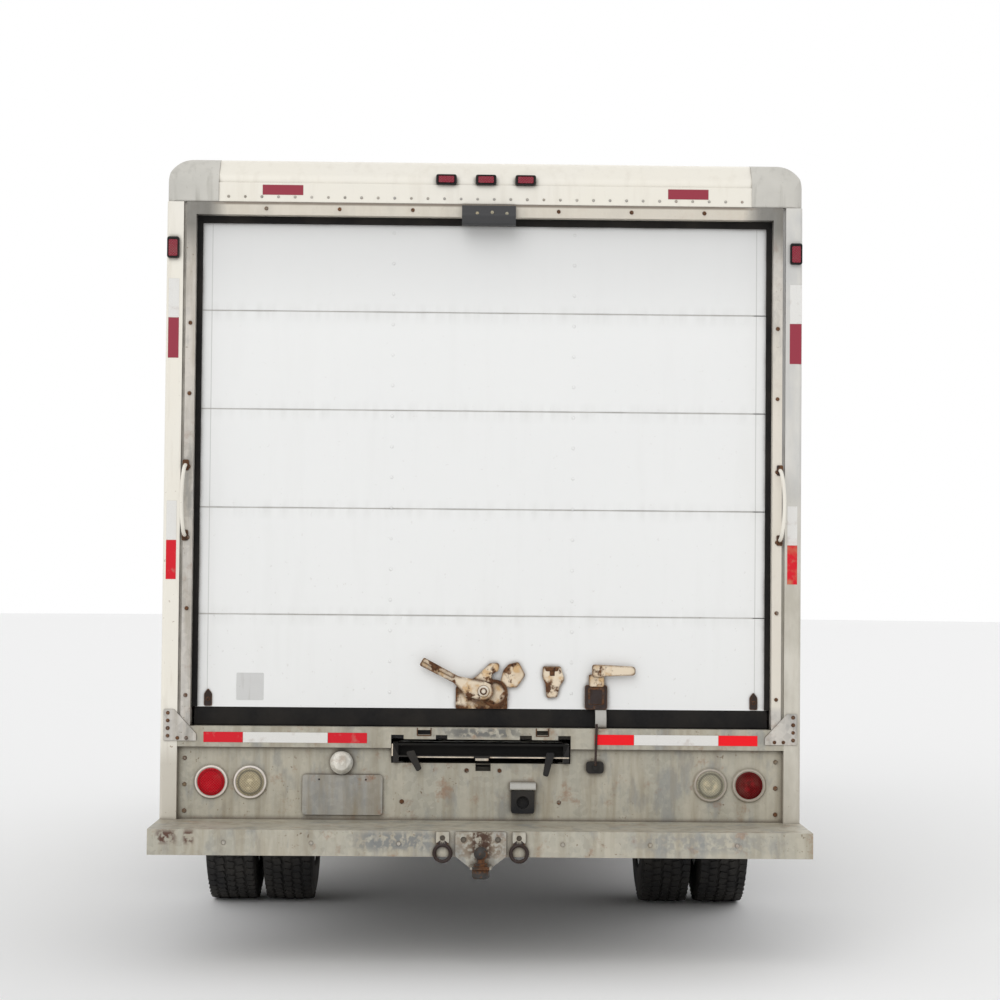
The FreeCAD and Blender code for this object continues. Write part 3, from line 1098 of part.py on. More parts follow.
def rear_sill():
    # Sill channel over a recessed apron; both are open at the ramp slot
    face = block(-POST_FACE_X, POST_FACE_X, REAR_Y, REAR_Y + SILL_PLATE, SIDE_LOW_Z, SILL_TOP)
    top = block(-POST_FACE_X, POST_FACE_X, REAR_Y, REAR_Y + SILL_DEPTH, SILL_TOP - SILL_PLATE, SILL_TOP)
    foot = block(-POST_FACE_X, POST_FACE_X, REAR_Y, REAR_Y + APRON_DEPTH, SIDE_LOW_Z,
                 SIDE_LOW_Z + SILL_PLATE)
    apron = block(-POST_FACE_X, POST_FACE_X, APRON_Y, APRON_Y + APRON_PLATE, APRON_BOTTOM, SIDE_LOW_Z)
    lip = block(-POST_FACE_X, POST_FACE_X, APRON_Y, APRON_Y + 24, APRON_BOTTOM, APRON_BOTTOM + APRON_PLATE)
    pieces = [face, top, foot, apron]
    pieces += both_sides(lip.common(block(RAIL_X + 1, POST_FACE_X, REAR_Y, REAR_AXLE_Y, 0, DECK_TOP)))
    for x in (-TAIL_LAMP_X, -REVERSE_LAMP_X, REVERSE_LAMP_X, TAIL_LAMP_X):
        flange = Part.makeCone(FLANGE_R, FLANGE_R - 7, FLANGE_HEIGHT, V(x, APRON_Y, LAMP_Z), V(0, -1, 0))
        pieces.append(flange.cut(rod(LENS_R + 0.3, (x, REAR_Y, LAMP_Z), (x, APRON_Y, LAMP_Z))))
    solid = joined(pieces)
    solid = solid.cut(block(-SLOT_HALF, SLOT_HALF, REAR_Y - 1, REAR_Y + SILL_PLATE + 1, 0, SLOT_TOP))
    solid = solid.cut(block(-SLOT_HALF, SLOT_HALF, REAR_Y, REAR_Y + SILL_DEPTH, SLOT_BOTTOM,
                            DECK_TOP - FLOOR_THICK))
    solid = solid.cut(block(*LATCH_NOTCH, REAR_Y, REAR_Y + SILL_DEPTH, SLOT_BOTTOM - LATCH_DEPTH,
                            SLOT_BOTTOM + 1))
    for x0, x1, z1 in SLOT_NOTCHES:
        solid = solid.cut(block(x0, x1, REAR_Y - 1, REAR_Y + SILL_PLATE + 1, SLOT_TOP - 1, z1))
    for x0, x1 in HOOK_HOLES:
        solid = solid.cut(block(x0, x1, REAR_Y - 1, REAR_Y + SILL_PLATE + 1, NOTCH_TOP + 2, SILL_TOP - 9))
    return [solid.cut(plate_holes())]


DOOR_Y = REAR_Y + 55
DOOR_THICK = 22.0
DOOR_HALF = OPENING_X - 10
DOOR_BOTTOM = SILL_TOP + 69
SEAM = 3.0
# Heights of the seams between the panels over the foot of the door
PANEL_SEAMS = [356.0, 765.0, 1143.0, 1522.0]
HINGE_COLUMNS = (-1000.0, -350.0, 350.0, 1000.0)


def door_panels():
    # Five sections, each hinged to the next by leaves on the inside
    edges = [0.0] + PANEL_SEAMS + [HEADER_LOW - 30 - DOOR_BOTTOM]
    pieces = []
    for low, high in zip(edges, edges[1:]):
        pieces.append(block(-DOOR_HALF, DOOR_HALF, DOOR_Y, DOOR_Y + DOOR_THICK, DOOR_BOTTOM + low + SEAM / 2,
                            DOOR_BOTTOM + high - SEAM / 2))
    for seam in PANEL_SEAMS:
        z = DOOR_BOTTOM + seam
        for x in HINGE_COLUMNS:
            pieces.append(block(x - 35, x + 35, DOOR_Y + DOOR_THICK - 1, DOOR_Y + DOOR_THICK + 4, z - 35,
                                z + 35))
    return [joined(pieces)]


SEAL_WIDTH = 21.0
SEAL_DEPTH = 12.0


def door_seals():
    # Rubber: side and top strips that press on the door, and the foot under the lowest panel
    side = block(OPENING_X - SEAL_WIDTH, OPENING_X, DOOR_Y - SEAL_DEPTH, DOOR_Y, DOOR_BOTTOM + SEAM,
                 HEADER_LOW - HEADER_STRIP)
    top = block(-OPENING_X + SEAL_WIDTH, OPENING_X - SEAL_WIDTH, DOOR_Y - SEAL_DEPTH, DOOR_Y,
                HEADER_LOW - HEADER_STRIP - 27, HEADER_LOW - HEADER_STRIP)
    foot = across([(DOOR_Y - 6, DECK_TOP, 10), (DOOR_Y + DOOR_THICK + 4, DECK_TOP, 10),
                   (DOOR_Y + DOOR_THICK, DOOR_BOTTOM + SEAM / 2, 0), (DOOR_Y, DOOR_BOTTOM + SEAM / 2, 0)],
                  -DOOR_HALF, DOOR_HALF)
    return [joined(both_sides(side) + [top]), foot]


LEVER_PIVOT = (8.0, DOOR_BOTTOM + 70)
LEVER_TIP = (-227.0, DOOR_BOTTOM + 182)
DISC_X = 50.0
DISC_R = 52.0


def door_lock():
    # Over-centre lever on its base plate, with the cam arm above and a striker wing to the right
    px, pz = LEVER_PIVOT
    tx, tz = LEVER_TIP
    y = DOOR_Y
    z = DOOR_BOTTOM
    base = along([(-98, z + 2, 4), (100, z + 2, 4), (100, z + 60, 30), (40, z + 118, 20), (-30, z + 118, 14),
                  (-98, z + 88, 20)], y - 9, y)
    disc = rod(DISC_R, (DISC_X, y - 22, z + 62), (DISC_X, y - 9, z + 62))
    disc = disc.cut(rod(DISC_R - 9, (DISC_X, y - 23, z + 62), (DISC_X, y - 16, z + 62)))
    cam = along([(-40, z + 112, 6), (-16, z + 128, 20), (32, z + 176, 14), (70, z + 178, 10),
                 (64, z + 146, 12),
                 (24, z + 128, 20), (56, z + 96, 6)], y - 24, y - 8)
    wing = along([(70, z + 96, 8), (96, z + 84, 8), (136, z + 84, 8), (168, z + 132, 12), (142, z + 182, 12),
                  (104, z + 172, 12), (84, z + 150, 12)], y - 15, y)
    bolt = rod(13, (px, y - 46, pz), (px, y, pz))
    boss = rod(30, (px, y - 38, pz), (px, y - 9, pz))
    lever = along([(tx - 11, tz - 15, 7), (tx + 6, tz + 15, 7), (px - 96, pz + 56, 30),
                   (px - 6, pz + 40, 24),
                   (px + 36, pz + 22, 20), (px + 36, pz - 20, 20), (px - 2, pz - 36, 20),
                   (px - 64, pz - 20, 24),
                   (px - 116, pz + 32, 24)], y - 38, y - 26)
    lip = along([(tx - 2, tz + 2, 3), (tx + 5, tz + 13, 3), (px - 108, pz + 60, 3), (px - 114, pz + 49, 3)],
                y - 46, y - 30)
    return [joined([base, disc, cam, wing, bolt, boss, lever, lip])]


ROD_X = 430.0


def slide_bolt():
    # Keeper plate, and a bolt with its housing, handle bar and the thin rod to the foot of the apron
    z = DOOR_BOTTOM
    y = DOOR_Y
    keeper = along([(250, z + 45, 8), (290, z + 48, 8), (300, z + 90, 10), (318, z + 116, 8),
                    (303, z + 165, 6),
                    (236, z + 165, 6), (233, z + 128, 8), (246, z + 96, 10)], y - 14, y)
    housing = along(frame_corners(397, 482, z + 3, z + 95, 8), y - 22, y)
    stem = along(frame_corners(412, 470, z + 90, z + 135, 6), y - 26, y)
    bar = along([(423, z + 128, 10), (589, z + 134, 14), (589, z + 168, 14), (423, z + 175, 10)], y - 34,
                y - 18)
    bar_foot = block(440, 470, y - 20, y, z + 130, z + 165)
    front = REAR_Y - GUSSET_THICK
    lower = across([(y, z + 3, 0), (y - 22, z + 3, 6), (front - 10, z - 18, 16), (front - 10, z - 66, 6),
                    (front, z - 66, 0), (front, z - 22, 10), (y - 12, z + 30, 6), (y, z + 30, 0)], 435, 479)
    thin = rod(4.5, (ROD_X + 10, front - 5, z - 50), (ROD_X + 6, front - 5, FITTING_Z + 10))
    return [joined([housing, stem, bar, bar_foot, lower, thin]), keeper]


FITTING_X = 436.0
FITTING_Z = DECK_TOP - 144
HANDLE_X = POST_FACE_X - 20
# Side of each handle, and how far its bar stands out beside its feet
HANDLE_BOWS = [(-1, 6.0), (1, 24.0)]
HANDLE_LOW = DECK_TOP + 728
HANDLE_HIGH = DECK_TOP + 996
HANDLE_REACH = 58.0
HANDLE_R = 7.5


def grab_handles():
    # One on each post; the right one has been pulled outwards in its middle
    handles = []
    for sign, bow in HANDLE_BOWS:
        x = sign * HANDLE_X
        out = x + sign * bow
        front = REAR_Y - HANDLE_REACH
        bar = bent_bar([(x, REAR_Y - 4, HANDLE_LOW), (x, front, HANDLE_LOW + 10),
                        (out, front, HANDLE_LOW + 70),
                        (out, front, HANDLE_HIGH - 50), (x, front, HANDLE_HIGH - 10),
                        (x, REAR_Y - 4, HANDLE_HIGH)],
                       HANDLE_R, 16.0)
        feet = [along(frame_corners(x - 12, x + 12, z - 20, z + 20, 6), REAR_Y - 5, REAR_Y)
                for z in (HANDLE_LOW, HANDLE_HIGH)]
        handles.append(joined([bar] + feet))
    return handles


# ---------------------------------------------------------------- ramp

RAMP_LENGTH = 2600.0
RAMP_SIDE_CLEARANCE = 6.0
RAMP_HALF = SLOT_HALF - RAMP_SIDE_CLEARANCE
RAMP_SLATS = 24
TRAY_PLATE = 6.0
RUNNER = 5.0
RAMP_LOW = RAIL_TOP + 1 + TRAY_PLATE + RUNNER + 0.3
RAMP_HIGH = SLOT_TOP - 9
RAMP_END_LOW = RAMP_LOW + 20
# The two latch levers that hang from the end beam: (x, height over the beam's foot)
LEVERS = [[(-286, 20), (-254, 26), (-224, -44), (-242, -56)], [(250, 20), (282, 20), (256, -72), (236, -66)]]


def ramp_tray():
    # Channel under the deck, open at the rear and in front, with a runner under each side of the ramp
    y0 = APRON_Y + APRON_PLATE + 1
    y1 = REAR_Y + RAMP_LENGTH + 80
    low = RAIL_TOP + 1
    high = DECK_TOP - FLOOR_THICK
    plate = block(-SILL_IN_X, SILL_IN_X, y0, y1, low, low + TRAY_PLATE)
    pieces = [plate]
    pieces += both_sides(block(SILL_IN_X - TRAY_PLATE, SILL_IN_X, y0, y1, low, high))
    pieces += both_sides(block(SLOT_HALF, SILL_IN_X, y0, y1, high - TRAY_PLATE, high))
    pieces += both_sides(block(RAMP_HALF - 40, RAMP_HALF, y0, y1, low, low + TRAY_PLATE + RUNNER))
    pieces.append(block(-SILL_IN_X, SILL_IN_X, y1, y1 + TRAY_PLATE, low, high))
    return [joined(pieces)]


def ramp():
    # Side rails, slats and an end beam with its tab and the two hanging latch handles
    y0 = REAR_Y + 2
    y1 = y0 + RAMP_LENGTH
    pieces = both_sides(block(RAMP_HALF - 22, RAMP_HALF, y0, y1, RAMP_LOW, RAMP_HIGH))
    pitch = (RAMP_LENGTH - 90) / RAMP_SLATS
    for i in range(RAMP_SLATS):
        y = y0 + 60 + pitch * i
        pieces.append(block(-RAMP_HALF + 10, RAMP_HALF - 10, y, y + 0.6 * pitch, RAMP_HIGH - 16,
                            RAMP_HIGH - 3))
    beam = block(-RAMP_HALF, RAMP_HALF, y0, y0 + 40, RAMP_END_LOW, RAMP_HIGH)
    pieces.append(beam.cut(block(-RAMP_HALF + 8, RAMP_HALF - 8, y0 - 1, y0 + 34, RAMP_END_LOW + 6,
                                 RAMP_HIGH - 8)))
    pieces.append(block(-22, 30, y0 - 14, y0, RAMP_END_LOW - 11, RAMP_END_LOW + 4))
    z = RAMP_END_LOW
    for lever in LEVERS:
        corners = [(x, z + rise, 7) for x, rise in lever]
        pieces.append(along(corners, y0 - 12, y0))
    return [joined(pieces)]


# ---------------------------------------------------------------- bumper, hitch, lamps and fittings

BUMPER_TOP = POST_BOTTOM
BUMPER_FACE = 94.0
BUMPER_PLATE = 5.0


def rear_bumper():
    # Step bumper: tread plate, rear face, closed ends and the brackets under the rails
    low = BUMPER_TOP - BUMPER_FACE
    y0 = BUMPER_FACE_Y
    end = APRON_Y + APRON_PLATE
    top = block(-BODY_X, BODY_X, y0, end, BUMPER_TOP - BUMPER_PLATE, BUMPER_TOP)
    face = block(-BODY_X, BODY_X, y0, y0 + BUMPER_PLATE, low, BUMPER_TOP)
    lip = block(-BODY_X, BODY_X, y0, y0 + 45, low, low + BUMPER_PLATE)
    pieces = [top, face, lip]
    pieces += both_sides(across([(y0, low, 8), (end, BUMPER_TOP - 40, 0), (end, BUMPER_TOP, 0),
                                 (y0, BUMPER_TOP, 0)],
                                BODY_X - BUMPER_PLATE, BODY_X))
    for x in (RAIL_X - 12, RAIL_X - 60):
        arm = across([(y0, low + 4, 0), (REAR_Y + 330, low + 4, 40), (REAR_Y + 330, RAIL_BOTTOM, 0),
                      (REAR_Y + APRON_DEPTH, RAIL_BOTTOM, 0), (REAR_Y + APRON_DEPTH, BUMPER_TOP - 2, 0),
                      (y0, BUMPER_TOP - 2, 0)], x, x + 10)
        pieces += both_sides(arm)
    return [joined(pieces)]


HITCH_PLATE = 10.0
BALL_RADIUS = 25.4
BALL_REACH = 44.0
BALL_NECK_R = 14.0
BALL_FLAT_R = 9.0
SHELF_Z = BUMPER_TOP - 132
CHAIN_X = 140.0


def hitch():
    # Vee plate on the bumper face, ball on its shelf with the nut below, and the chain eyes
    y = BUMPER_FACE_Y
    front = y - HITCH_REACH
    top = BUMPER_TOP - 2
    plate = along([(-93, top, 4), (-93, top - 89, 12), (-40, SHELF_Z, 8), (40, SHELF_Z, 8),
                   (93, top - 89, 12),
                   (93, top, 4)], y - HITCH_PLATE, y)
    for x in (-63, 63):
        plate = plate.cut(rod(11, (x, y - HITCH_PLATE - 1, top - 28), (x, y, top - 28)))
    shelf = upward([(-40, y - HITCH_PLATE + 2, 0), (-40, front, 26), (40, front, 26),
                    (40, y - HITCH_PLATE + 2, 0)],
                   SHELF_Z, SHELF_Z + 10)
    ball_z = SHELF_Z + 56
    neck_z = ball_z - math.sqrt(BALL_RADIUS ** 2 - BALL_NECK_R ** 2)
    crown_z = ball_z + math.sqrt(BALL_RADIUS ** 2 - BALL_FLAT_R ** 2)
    # Nut, shank, collar and neck as runs of (radius, z), closed by the ball's own arc
    runs = [(0, crown_z), (0, SHELF_Z - 34), (26, SHELF_Z - 34), (32, SHELF_Z - 26), (32, SHELF_Z - 3),
            (20, SHELF_Z), (20, SHELF_Z + 10), (24, SHELF_Z + 10), (24, SHELF_Z + 19),
            (BALL_NECK_R, SHELF_Z + 22), (BALL_NECK_R, neck_z)]
    spots = [V(r, 0, z) for r, z in runs]
    edges = [Part.makeLine(a, b) for a, b in zip(spots, spots[1:])]
    crown = V(BALL_FLAT_R, 0, crown_z)
    edges.append(Part.Arc(spots[-1], V(BALL_RADIUS, 0, ball_z), crown).toShape())
    edges.append(Part.makeLine(crown, spots[0]))
    ball = Part.Face(Part.Wire(edges)).revolve(V(0, 0, 0), V(0, 0, 1), 360)
    ball.translate(V(0, y - BALL_REACH, 0))
    pieces = [plate, shelf, ball]
    eyes = []
    for sign in (-1, 1):
        x = sign * CHAIN_X
        lug = along([(x - 24, top, 4), (x - 24, top - 50, 18), (x + 24, top - 50, 18), (x + 24, top, 4)],
                    y - 12, y)
        lug = lug.cut(rod(10, (x, y - 13, top - 22), (x, y, top - 22)))
        ring = Part.makeTorus(30, 6.5, V(x, y - 7, top - 78), V(0, 1, 0))
        eyes.append(joined([lug, ring]))
    return [joined(pieces)] + eyes


def round_lens(x):
    lens = rod(LENS_R, (x, APRON_Y, LAMP_Z), (x, APRON_Y - FLANGE_HEIGHT - 4, LAMP_Z))
    dome = Part.makeSphere(110, V(x, APRON_Y - FLANGE_HEIGHT - 14 + 110, LAMP_Z))
    return lens.common(dome)


ID_LAMP_Z = DECK_TOP + 2100
ID_LAMP_PITCH = 152.0
CLEARANCE_X = BODY_X - 184
SIDE_LAMP_X = BODY_X - 26
SIDE_LAMP_Z = DECK_TOP + 1828


def small_lens(x, z, width, height, y, depth):
    return along(frame_corners(x - width / 2, x + width / 2, z - height / 2, z + height / 2, 8),
                 y - depth, y)


def red_lamps():
    # Round tail lamps, the three lamps on the header and one on each post
    lenses = [round_lens(-TAIL_LAMP_X), round_lens(TAIL_LAMP_X)]
    header = across(HEADER_SIDE, -CAP_X, CAP_X)
    for x in (-ID_LAMP_PITCH, 0, ID_LAMP_PITCH):
        lenses.append(small_lens(x, ID_LAMP_Z, 79, 38, REAR_Y + 30, 46).cut(header))
    for sign in (-1, 1):
        lenses.append(small_lens(sign * SIDE_LAMP_X, SIDE_LAMP_Z, 46, 81, REAR_Y, 14))
    return lenses


def reverse_lamps():
    return [round_lens(-REVERSE_LAMP_X), round_lens(REVERSE_LAMP_X)]


def amber_lamps():
    # Clearance lamps over the cab and a marker low on each side
    y = BOX_FRONT_Y + 14
    lenses = [small_lens(x, WALL_TOP - 60, 70, 30, y, 14)
              for x in (-CLEARANCE_X, -ID_LAMP_PITCH, 0, ID_LAMP_PITCH, CLEARANCE_X)]
    y = BOX_FRONT_Y - 260
    for sign in (-1, 1):
        lens = across(frame_corners(y - 40, y + 40, DECK_TOP - 52, DECK_TOP - 18, 8), BODY_X, BODY_X + 12)
        lenses.append(on_side(lens, sign))
    return lenses


PLATE_X = -526.0
PLATE_Z = DECK_TOP - 255
PLATE_WIDTH = 305.0
PLATE_HEIGHT = 152.0
PLATE_HOLES = 178.0
PLATE_HOLE_R = 3.5


def plate_holes():
    # Drillings for the two bolts, through plate, bracket and apron
    z = PLATE_Z + PLATE_HEIGHT / 2 - 18
    spots = [PLATE_X - PLATE_HOLES / 2, PLATE_X + PLATE_HOLES / 2]
    holes = [rod(PLATE_HOLE_R, (x, APRON_Y - 11, z), (x, APRON_Y + APRON_PLATE + 1, z)) for x in spots]
    return Part.makeCompound(holes)


def licence_plate():
    # Blank plate on a bracket, fixed by two bolts in its upper edge
    back = block(PLATE_X - 110, PLATE_X + 110, APRON_Y - 8, APRON_Y, PLATE_Z - 60, PLATE_Z + 68)
    plate = along(frame_corners(PLATE_X - PLATE_WIDTH / 2, PLATE_X + PLATE_WIDTH / 2,
                                PLATE_Z - PLATE_HEIGHT / 2,
                                PLATE_Z + PLATE_HEIGHT / 2, 12), APRON_Y - 10, APRON_Y - 8)
    return [joined([back, plate]).cut(plate_holes())]


CAMERA_X = 12.0


def rear_fittings():
    # Plate lamp, trailer socket with its flap, hook fitting and the lamp box under the header
    plate_lamp = rod(44, (PLATE_X - 4, APRON_Y, DECK_TOP - 132), (PLATE_X - 4, APRON_Y - 40, DECK_TOP - 132))
    plate_lamp = plate_lamp.common(Part.makeSphere(52, V(PLATE_X - 4, APRON_Y + 4, DECK_TOP - 132)))
    socket_z = DECK_TOP - 275
    socket = along(frame_corners(117, 205, socket_z - 44, socket_z + 43, 10), APRON_Y - 34, APRON_Y)
    socket = socket.cut(rod(24, (161, APRON_Y - 35, socket_z - 2), (161, APRON_Y - 8, socket_z - 2)))
    flap = across([(APRON_Y, socket_z + 45, 0), (APRON_Y - 44, socket_z + 45, 6),
                   (APRON_Y - 30, socket_z + 70, 12),
                   (APRON_Y, socket_z + 72, 0)], 112, 210)
    fitting = along(frame_corners(FITTING_X - 33, FITTING_X + 33, FITTING_Z - 22, FITTING_Z + 22, 12),
                    APRON_Y - 22,
                    APRON_Y)
    stud = rod(9, (FITTING_X, APRON_Y - 22, FITTING_Z), (FITTING_X, APRON_Y - 36, FITTING_Z))
    z = HEADER_LOW - 6
    hood = across([(REAR_Y, z - 77, 8), (REAR_Y, z, 0), (REAR_Y - 20, z, 6), (REAR_Y - 46, z - 40, 14),
                   (REAR_Y - 40, z - 77, 8)], CAMERA_X - 103, CAMERA_X + 103)
    return [plate_lamp, joined([socket, flap]), fitting.fuse(stud), hood]


def main():
    os.makedirs("parts", exist_ok=True)
    skin = cab_skin(0, CAB_WALL)
    parts = {
        "chassis_frame": chassis_frame(), "engine_block": engine_block(), "rear_axle": rear_axle(),
        "leaf_springs": leaf_springs(), "front_axle": front_axle(), "tie_rod": tie_rod(),
        "fuel_tank": fuel_tank(), "exhaust": exhaust(), "cab_shell": cab_shell(skin), "hood": hood(skin),
        "front_fenders": front_fenders(skin), "grille": grille(skin),
        "front_bumper": front_bumper(), "windscreen": windscreen(), "cab_seats": cab_seats(),
        "dashboard": dashboard(), "steering_wheel": steering_wheel(), "box_floor": box_floor(),
        "box_side_walls": box_side_walls(), "box_front_wall": box_front_wall(), "box_roof": box_roof(),
        "rear_posts": rear_posts(), "door_surround": door_surround(), "rear_header": rear_header(),
        "header_caps": header_caps(), "rear_sill": rear_sill(),
        "door_panels": door_panels(), "door_seals": door_seals(), "door_locks": door_lock() + slide_bolt(),
        "grab_handles": grab_handles(), "ramp_tray": ramp_tray(),
        "ramp": ramp(), "rear_bumper": rear_bumper(), "hitch": hitch(), "red_lamps": red_lamps(),
        "clear_lamps": headlamps() + reverse_lamps(), "amber_lamps": amber_lamps(),
        "licence_plate": licence_plate(),
        "rear_fittings": rear_fittings(),
    }
    for side, sign in SIDES.items():
        parts["steering_knuckle_" + side] = knuckle(sign)
        parts["front_tyre_" + side] = front_tyre(sign)
        parts["front_rim_" + side] = front_rim(sign)
        parts["rear_tyres_" + side] = rear_tyres(sign)
        parts["rear_rims_" + side] = rear_rims(sign)
        parts["cab_door_" + side] = cab_door(sign, skin)
        parts["door_glass_" + side] = door_glass(sign)
        parts["door_mirror_" + side] = mirror(sign)
    for name, shapes in parts.items():
        write(name, shapes)
        print(name, [round(solid.Volume / 1e6, 2) for shape in shapes for solid in shape.Solids],
              all(shape.isValid() for shape in shapes))


main()
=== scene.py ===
import json
import math

import bmesh
import bpy
from mathutils import Matrix, Quaternion, Vector, kdtree

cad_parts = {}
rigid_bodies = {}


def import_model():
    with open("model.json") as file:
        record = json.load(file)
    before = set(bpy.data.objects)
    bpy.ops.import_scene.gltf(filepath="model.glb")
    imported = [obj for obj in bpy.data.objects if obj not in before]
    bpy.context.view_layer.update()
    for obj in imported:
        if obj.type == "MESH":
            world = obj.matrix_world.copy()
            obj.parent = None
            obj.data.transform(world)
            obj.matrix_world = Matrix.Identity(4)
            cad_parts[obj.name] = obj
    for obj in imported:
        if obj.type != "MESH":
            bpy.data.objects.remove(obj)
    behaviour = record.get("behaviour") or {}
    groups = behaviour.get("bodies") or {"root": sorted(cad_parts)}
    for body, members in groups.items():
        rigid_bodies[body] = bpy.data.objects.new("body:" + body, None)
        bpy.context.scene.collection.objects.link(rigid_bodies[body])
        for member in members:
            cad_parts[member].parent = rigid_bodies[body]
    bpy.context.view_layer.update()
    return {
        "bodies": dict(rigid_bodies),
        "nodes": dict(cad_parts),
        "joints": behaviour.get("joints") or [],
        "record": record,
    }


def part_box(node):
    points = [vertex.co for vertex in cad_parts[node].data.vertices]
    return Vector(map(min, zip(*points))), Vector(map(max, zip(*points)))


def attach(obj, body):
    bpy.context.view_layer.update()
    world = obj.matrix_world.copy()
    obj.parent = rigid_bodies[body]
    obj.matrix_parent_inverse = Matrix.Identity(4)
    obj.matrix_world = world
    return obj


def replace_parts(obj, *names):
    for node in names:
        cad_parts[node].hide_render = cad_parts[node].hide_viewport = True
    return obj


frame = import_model()
nodes = frame["nodes"]
scene = bpy.context.scene
print("frame loaded")


# Node helpers. They all work on the tree that was opened last

active = {}
paint = {}


def feed(socket, value):
    if isinstance(value, bpy.types.NodeSocket):
        active["tree"].links.new(value, socket)
    else:
        socket.default_value = (*value[:3], 1.0) if socket.type == "RGBA" else value


def addNode(kind, links=None, **settings):
    made = active["tree"].nodes.new(kind)
    for key, value in settings.items():
        setattr(made, key, value)
    for key, value in (links or {}).items():
        feed(made.inputs[key], value)
    return made


def maths(operation, first, second=0.0, third=0.0):
    return addNode("ShaderNodeMath", {0: first, 1: second, 2: third}, operation=operation).outputs[0]


def spread(value, low, high, start=0.0, end=1.0):
    return addNode("ShaderNodeMapRange", {0: value, 1: low, 2: high, 3: start, 4: end}).outputs[0]


def mixed(factor, first, second):
    return addNode("ShaderNodeMix", {0: factor, 6: first, 7: second}, data_type="RGBA").outputs[2]


def layered(colour, *coats):
    # Each coat is a mask and the colour that it lays on
    for mask, tint in coats:
        colour = mixed(mask, colour, tint)
    return colour


def times(first, *others):
    for other in others:
        first = maths("MULTIPLY", first, other)
    return first


def either(first, *others):
    for other in others:
        first = maths("MAXIMUM", first, other)
    return first


def eased(value, slope, base):
    return maths("MULTIPLY_ADD", value, slope, base)


def position(stretch=None):
    place = addNode("ShaderNodeTexCoord").outputs["Object"]
    return addNode("ShaderNodeMapping", {"Vector": place, "Scale": stretch}).outputs[0] if stretch else place


def axes():
    return addNode("ShaderNodeSeparateXYZ", {0: position()}).outputs[:3]


def patches(scale, low=0.4, high=0.6, detail=4.0, stretch=None, rough=0.55):
    cloud = addNode("ShaderNodeTexNoise", {"Vector": position(stretch), "Scale": scale, "Detail": detail,
                                           "Roughness": rough})
    return spread(cloud.outputs[0], low, high)


def cells(scale, randomness=1.0, **settings):
    return addNode("ShaderNodeTexVoronoi", {"Vector": position(), "Scale": scale, "Randomness": randomness},
                   **settings).outputs


def between(value, low, high, soft=0.002):
    return times(spread(value, low - soft, low + soft), spread(value, high - soft, high + soft, 1.0, 0.0))


def hollows(distance=0.02, low=0.55, high=0.93, inside=False):
    # 1 in corners and joints, or on outer edges where inside is set, and 0 on open faces
    near = addNode("ShaderNodeAmbientOcclusion", {"Distance": distance}, samples=8, inside=inside)
    return spread(near.outputs["AO"], low, high, 1.0, 0.0)


def runningDirt(scale=5.0, low=0.52, high=0.78):
    return patches(scale, low, high, 6.0, (3.0, 3.0, 0.32))


def scaled(colour, *factors, lift=0.0):
    factors = factors if len(factors) == 3 else factors * 3
    return tuple(min(1, part * factor + lift) for part, factor in zip(colour, factors))


def openMaterial(name, roughness=0.5, metallic=0.0, gloss=None, **numbers):
    material = paint[name] = bpy.data.materials.new(name)
    material.use_nodes = True
    shader = material.node_tree.nodes["Principled BSDF"]
    active.update(tree=material.node_tree, shader=shader)
    for label, value in {"Roughness": roughness, "Metallic": metallic, **numbers}.items():
        shader.inputs[label].default_value = value
    if gloss is not None:
        shader.inputs["Specular IOR Level"].default_value = gloss


def finish(colour, roughness=None, bump=None):
    # Roughness is (value, at 0, at 1) and bump is (height, distance, strength)
    inputs = active["shader"].inputs
    feed(inputs["Base Color"], colour)
    if roughness:
        feed(inputs["Roughness"], spread(roughness[0], 0, 1, *roughness[1:]))
    if bump:
        relief = addNode("ShaderNodeBump", dict(zip(("Height", "Distance", "Strength"), bump)))
        feed(inputs["Normal"], relief.outputs[0])


# Finishes. Every pattern reads the object's own coordinates, which are metres from the ground's centre

def paintedPanel(name, look, extra=None):
    rough = look["roughness"]
    openMaterial(name, rough)
    x, y, z = axes()
    cloudy = patches(look["cloudScale"], 0.3, 0.75, 5.0)
    low = spread(z, look["dirtTop"], look["dirtBottom"])
    streaks = times(runningDirt(look["streakScale"]), eased(low, 0.75, 0.25), look["dirtAmount"])
    specks = times(patches(60.0, 0.70, 0.74, 2.0), low, look["speckAmount"])
    # dark brown in corners and joints, where parts meet: partly grime, partly painted shade
    joints = times(hollows(0.018), eased(patches(9.0, 0.35, 0.65), 0.5, 0.5), 0.75)
    colour = layered(look["colour"], (times(cloudy, look["cloudAmount"]), look["cloudColour"]),
                     (streaks, look["dirtColour"]), (specks, look["speckColour"]),
                     (joints, (0.13, 0.105, 0.08)))
    if extra:
        colour = extra(colour, x, z)
    finish(colour, (cloudy, rough - 0.06, rough + 0.1),
           (patches(look["rippleScale"], 0.2, 0.8, 3.0), look["rippleDepth"], 0.6))


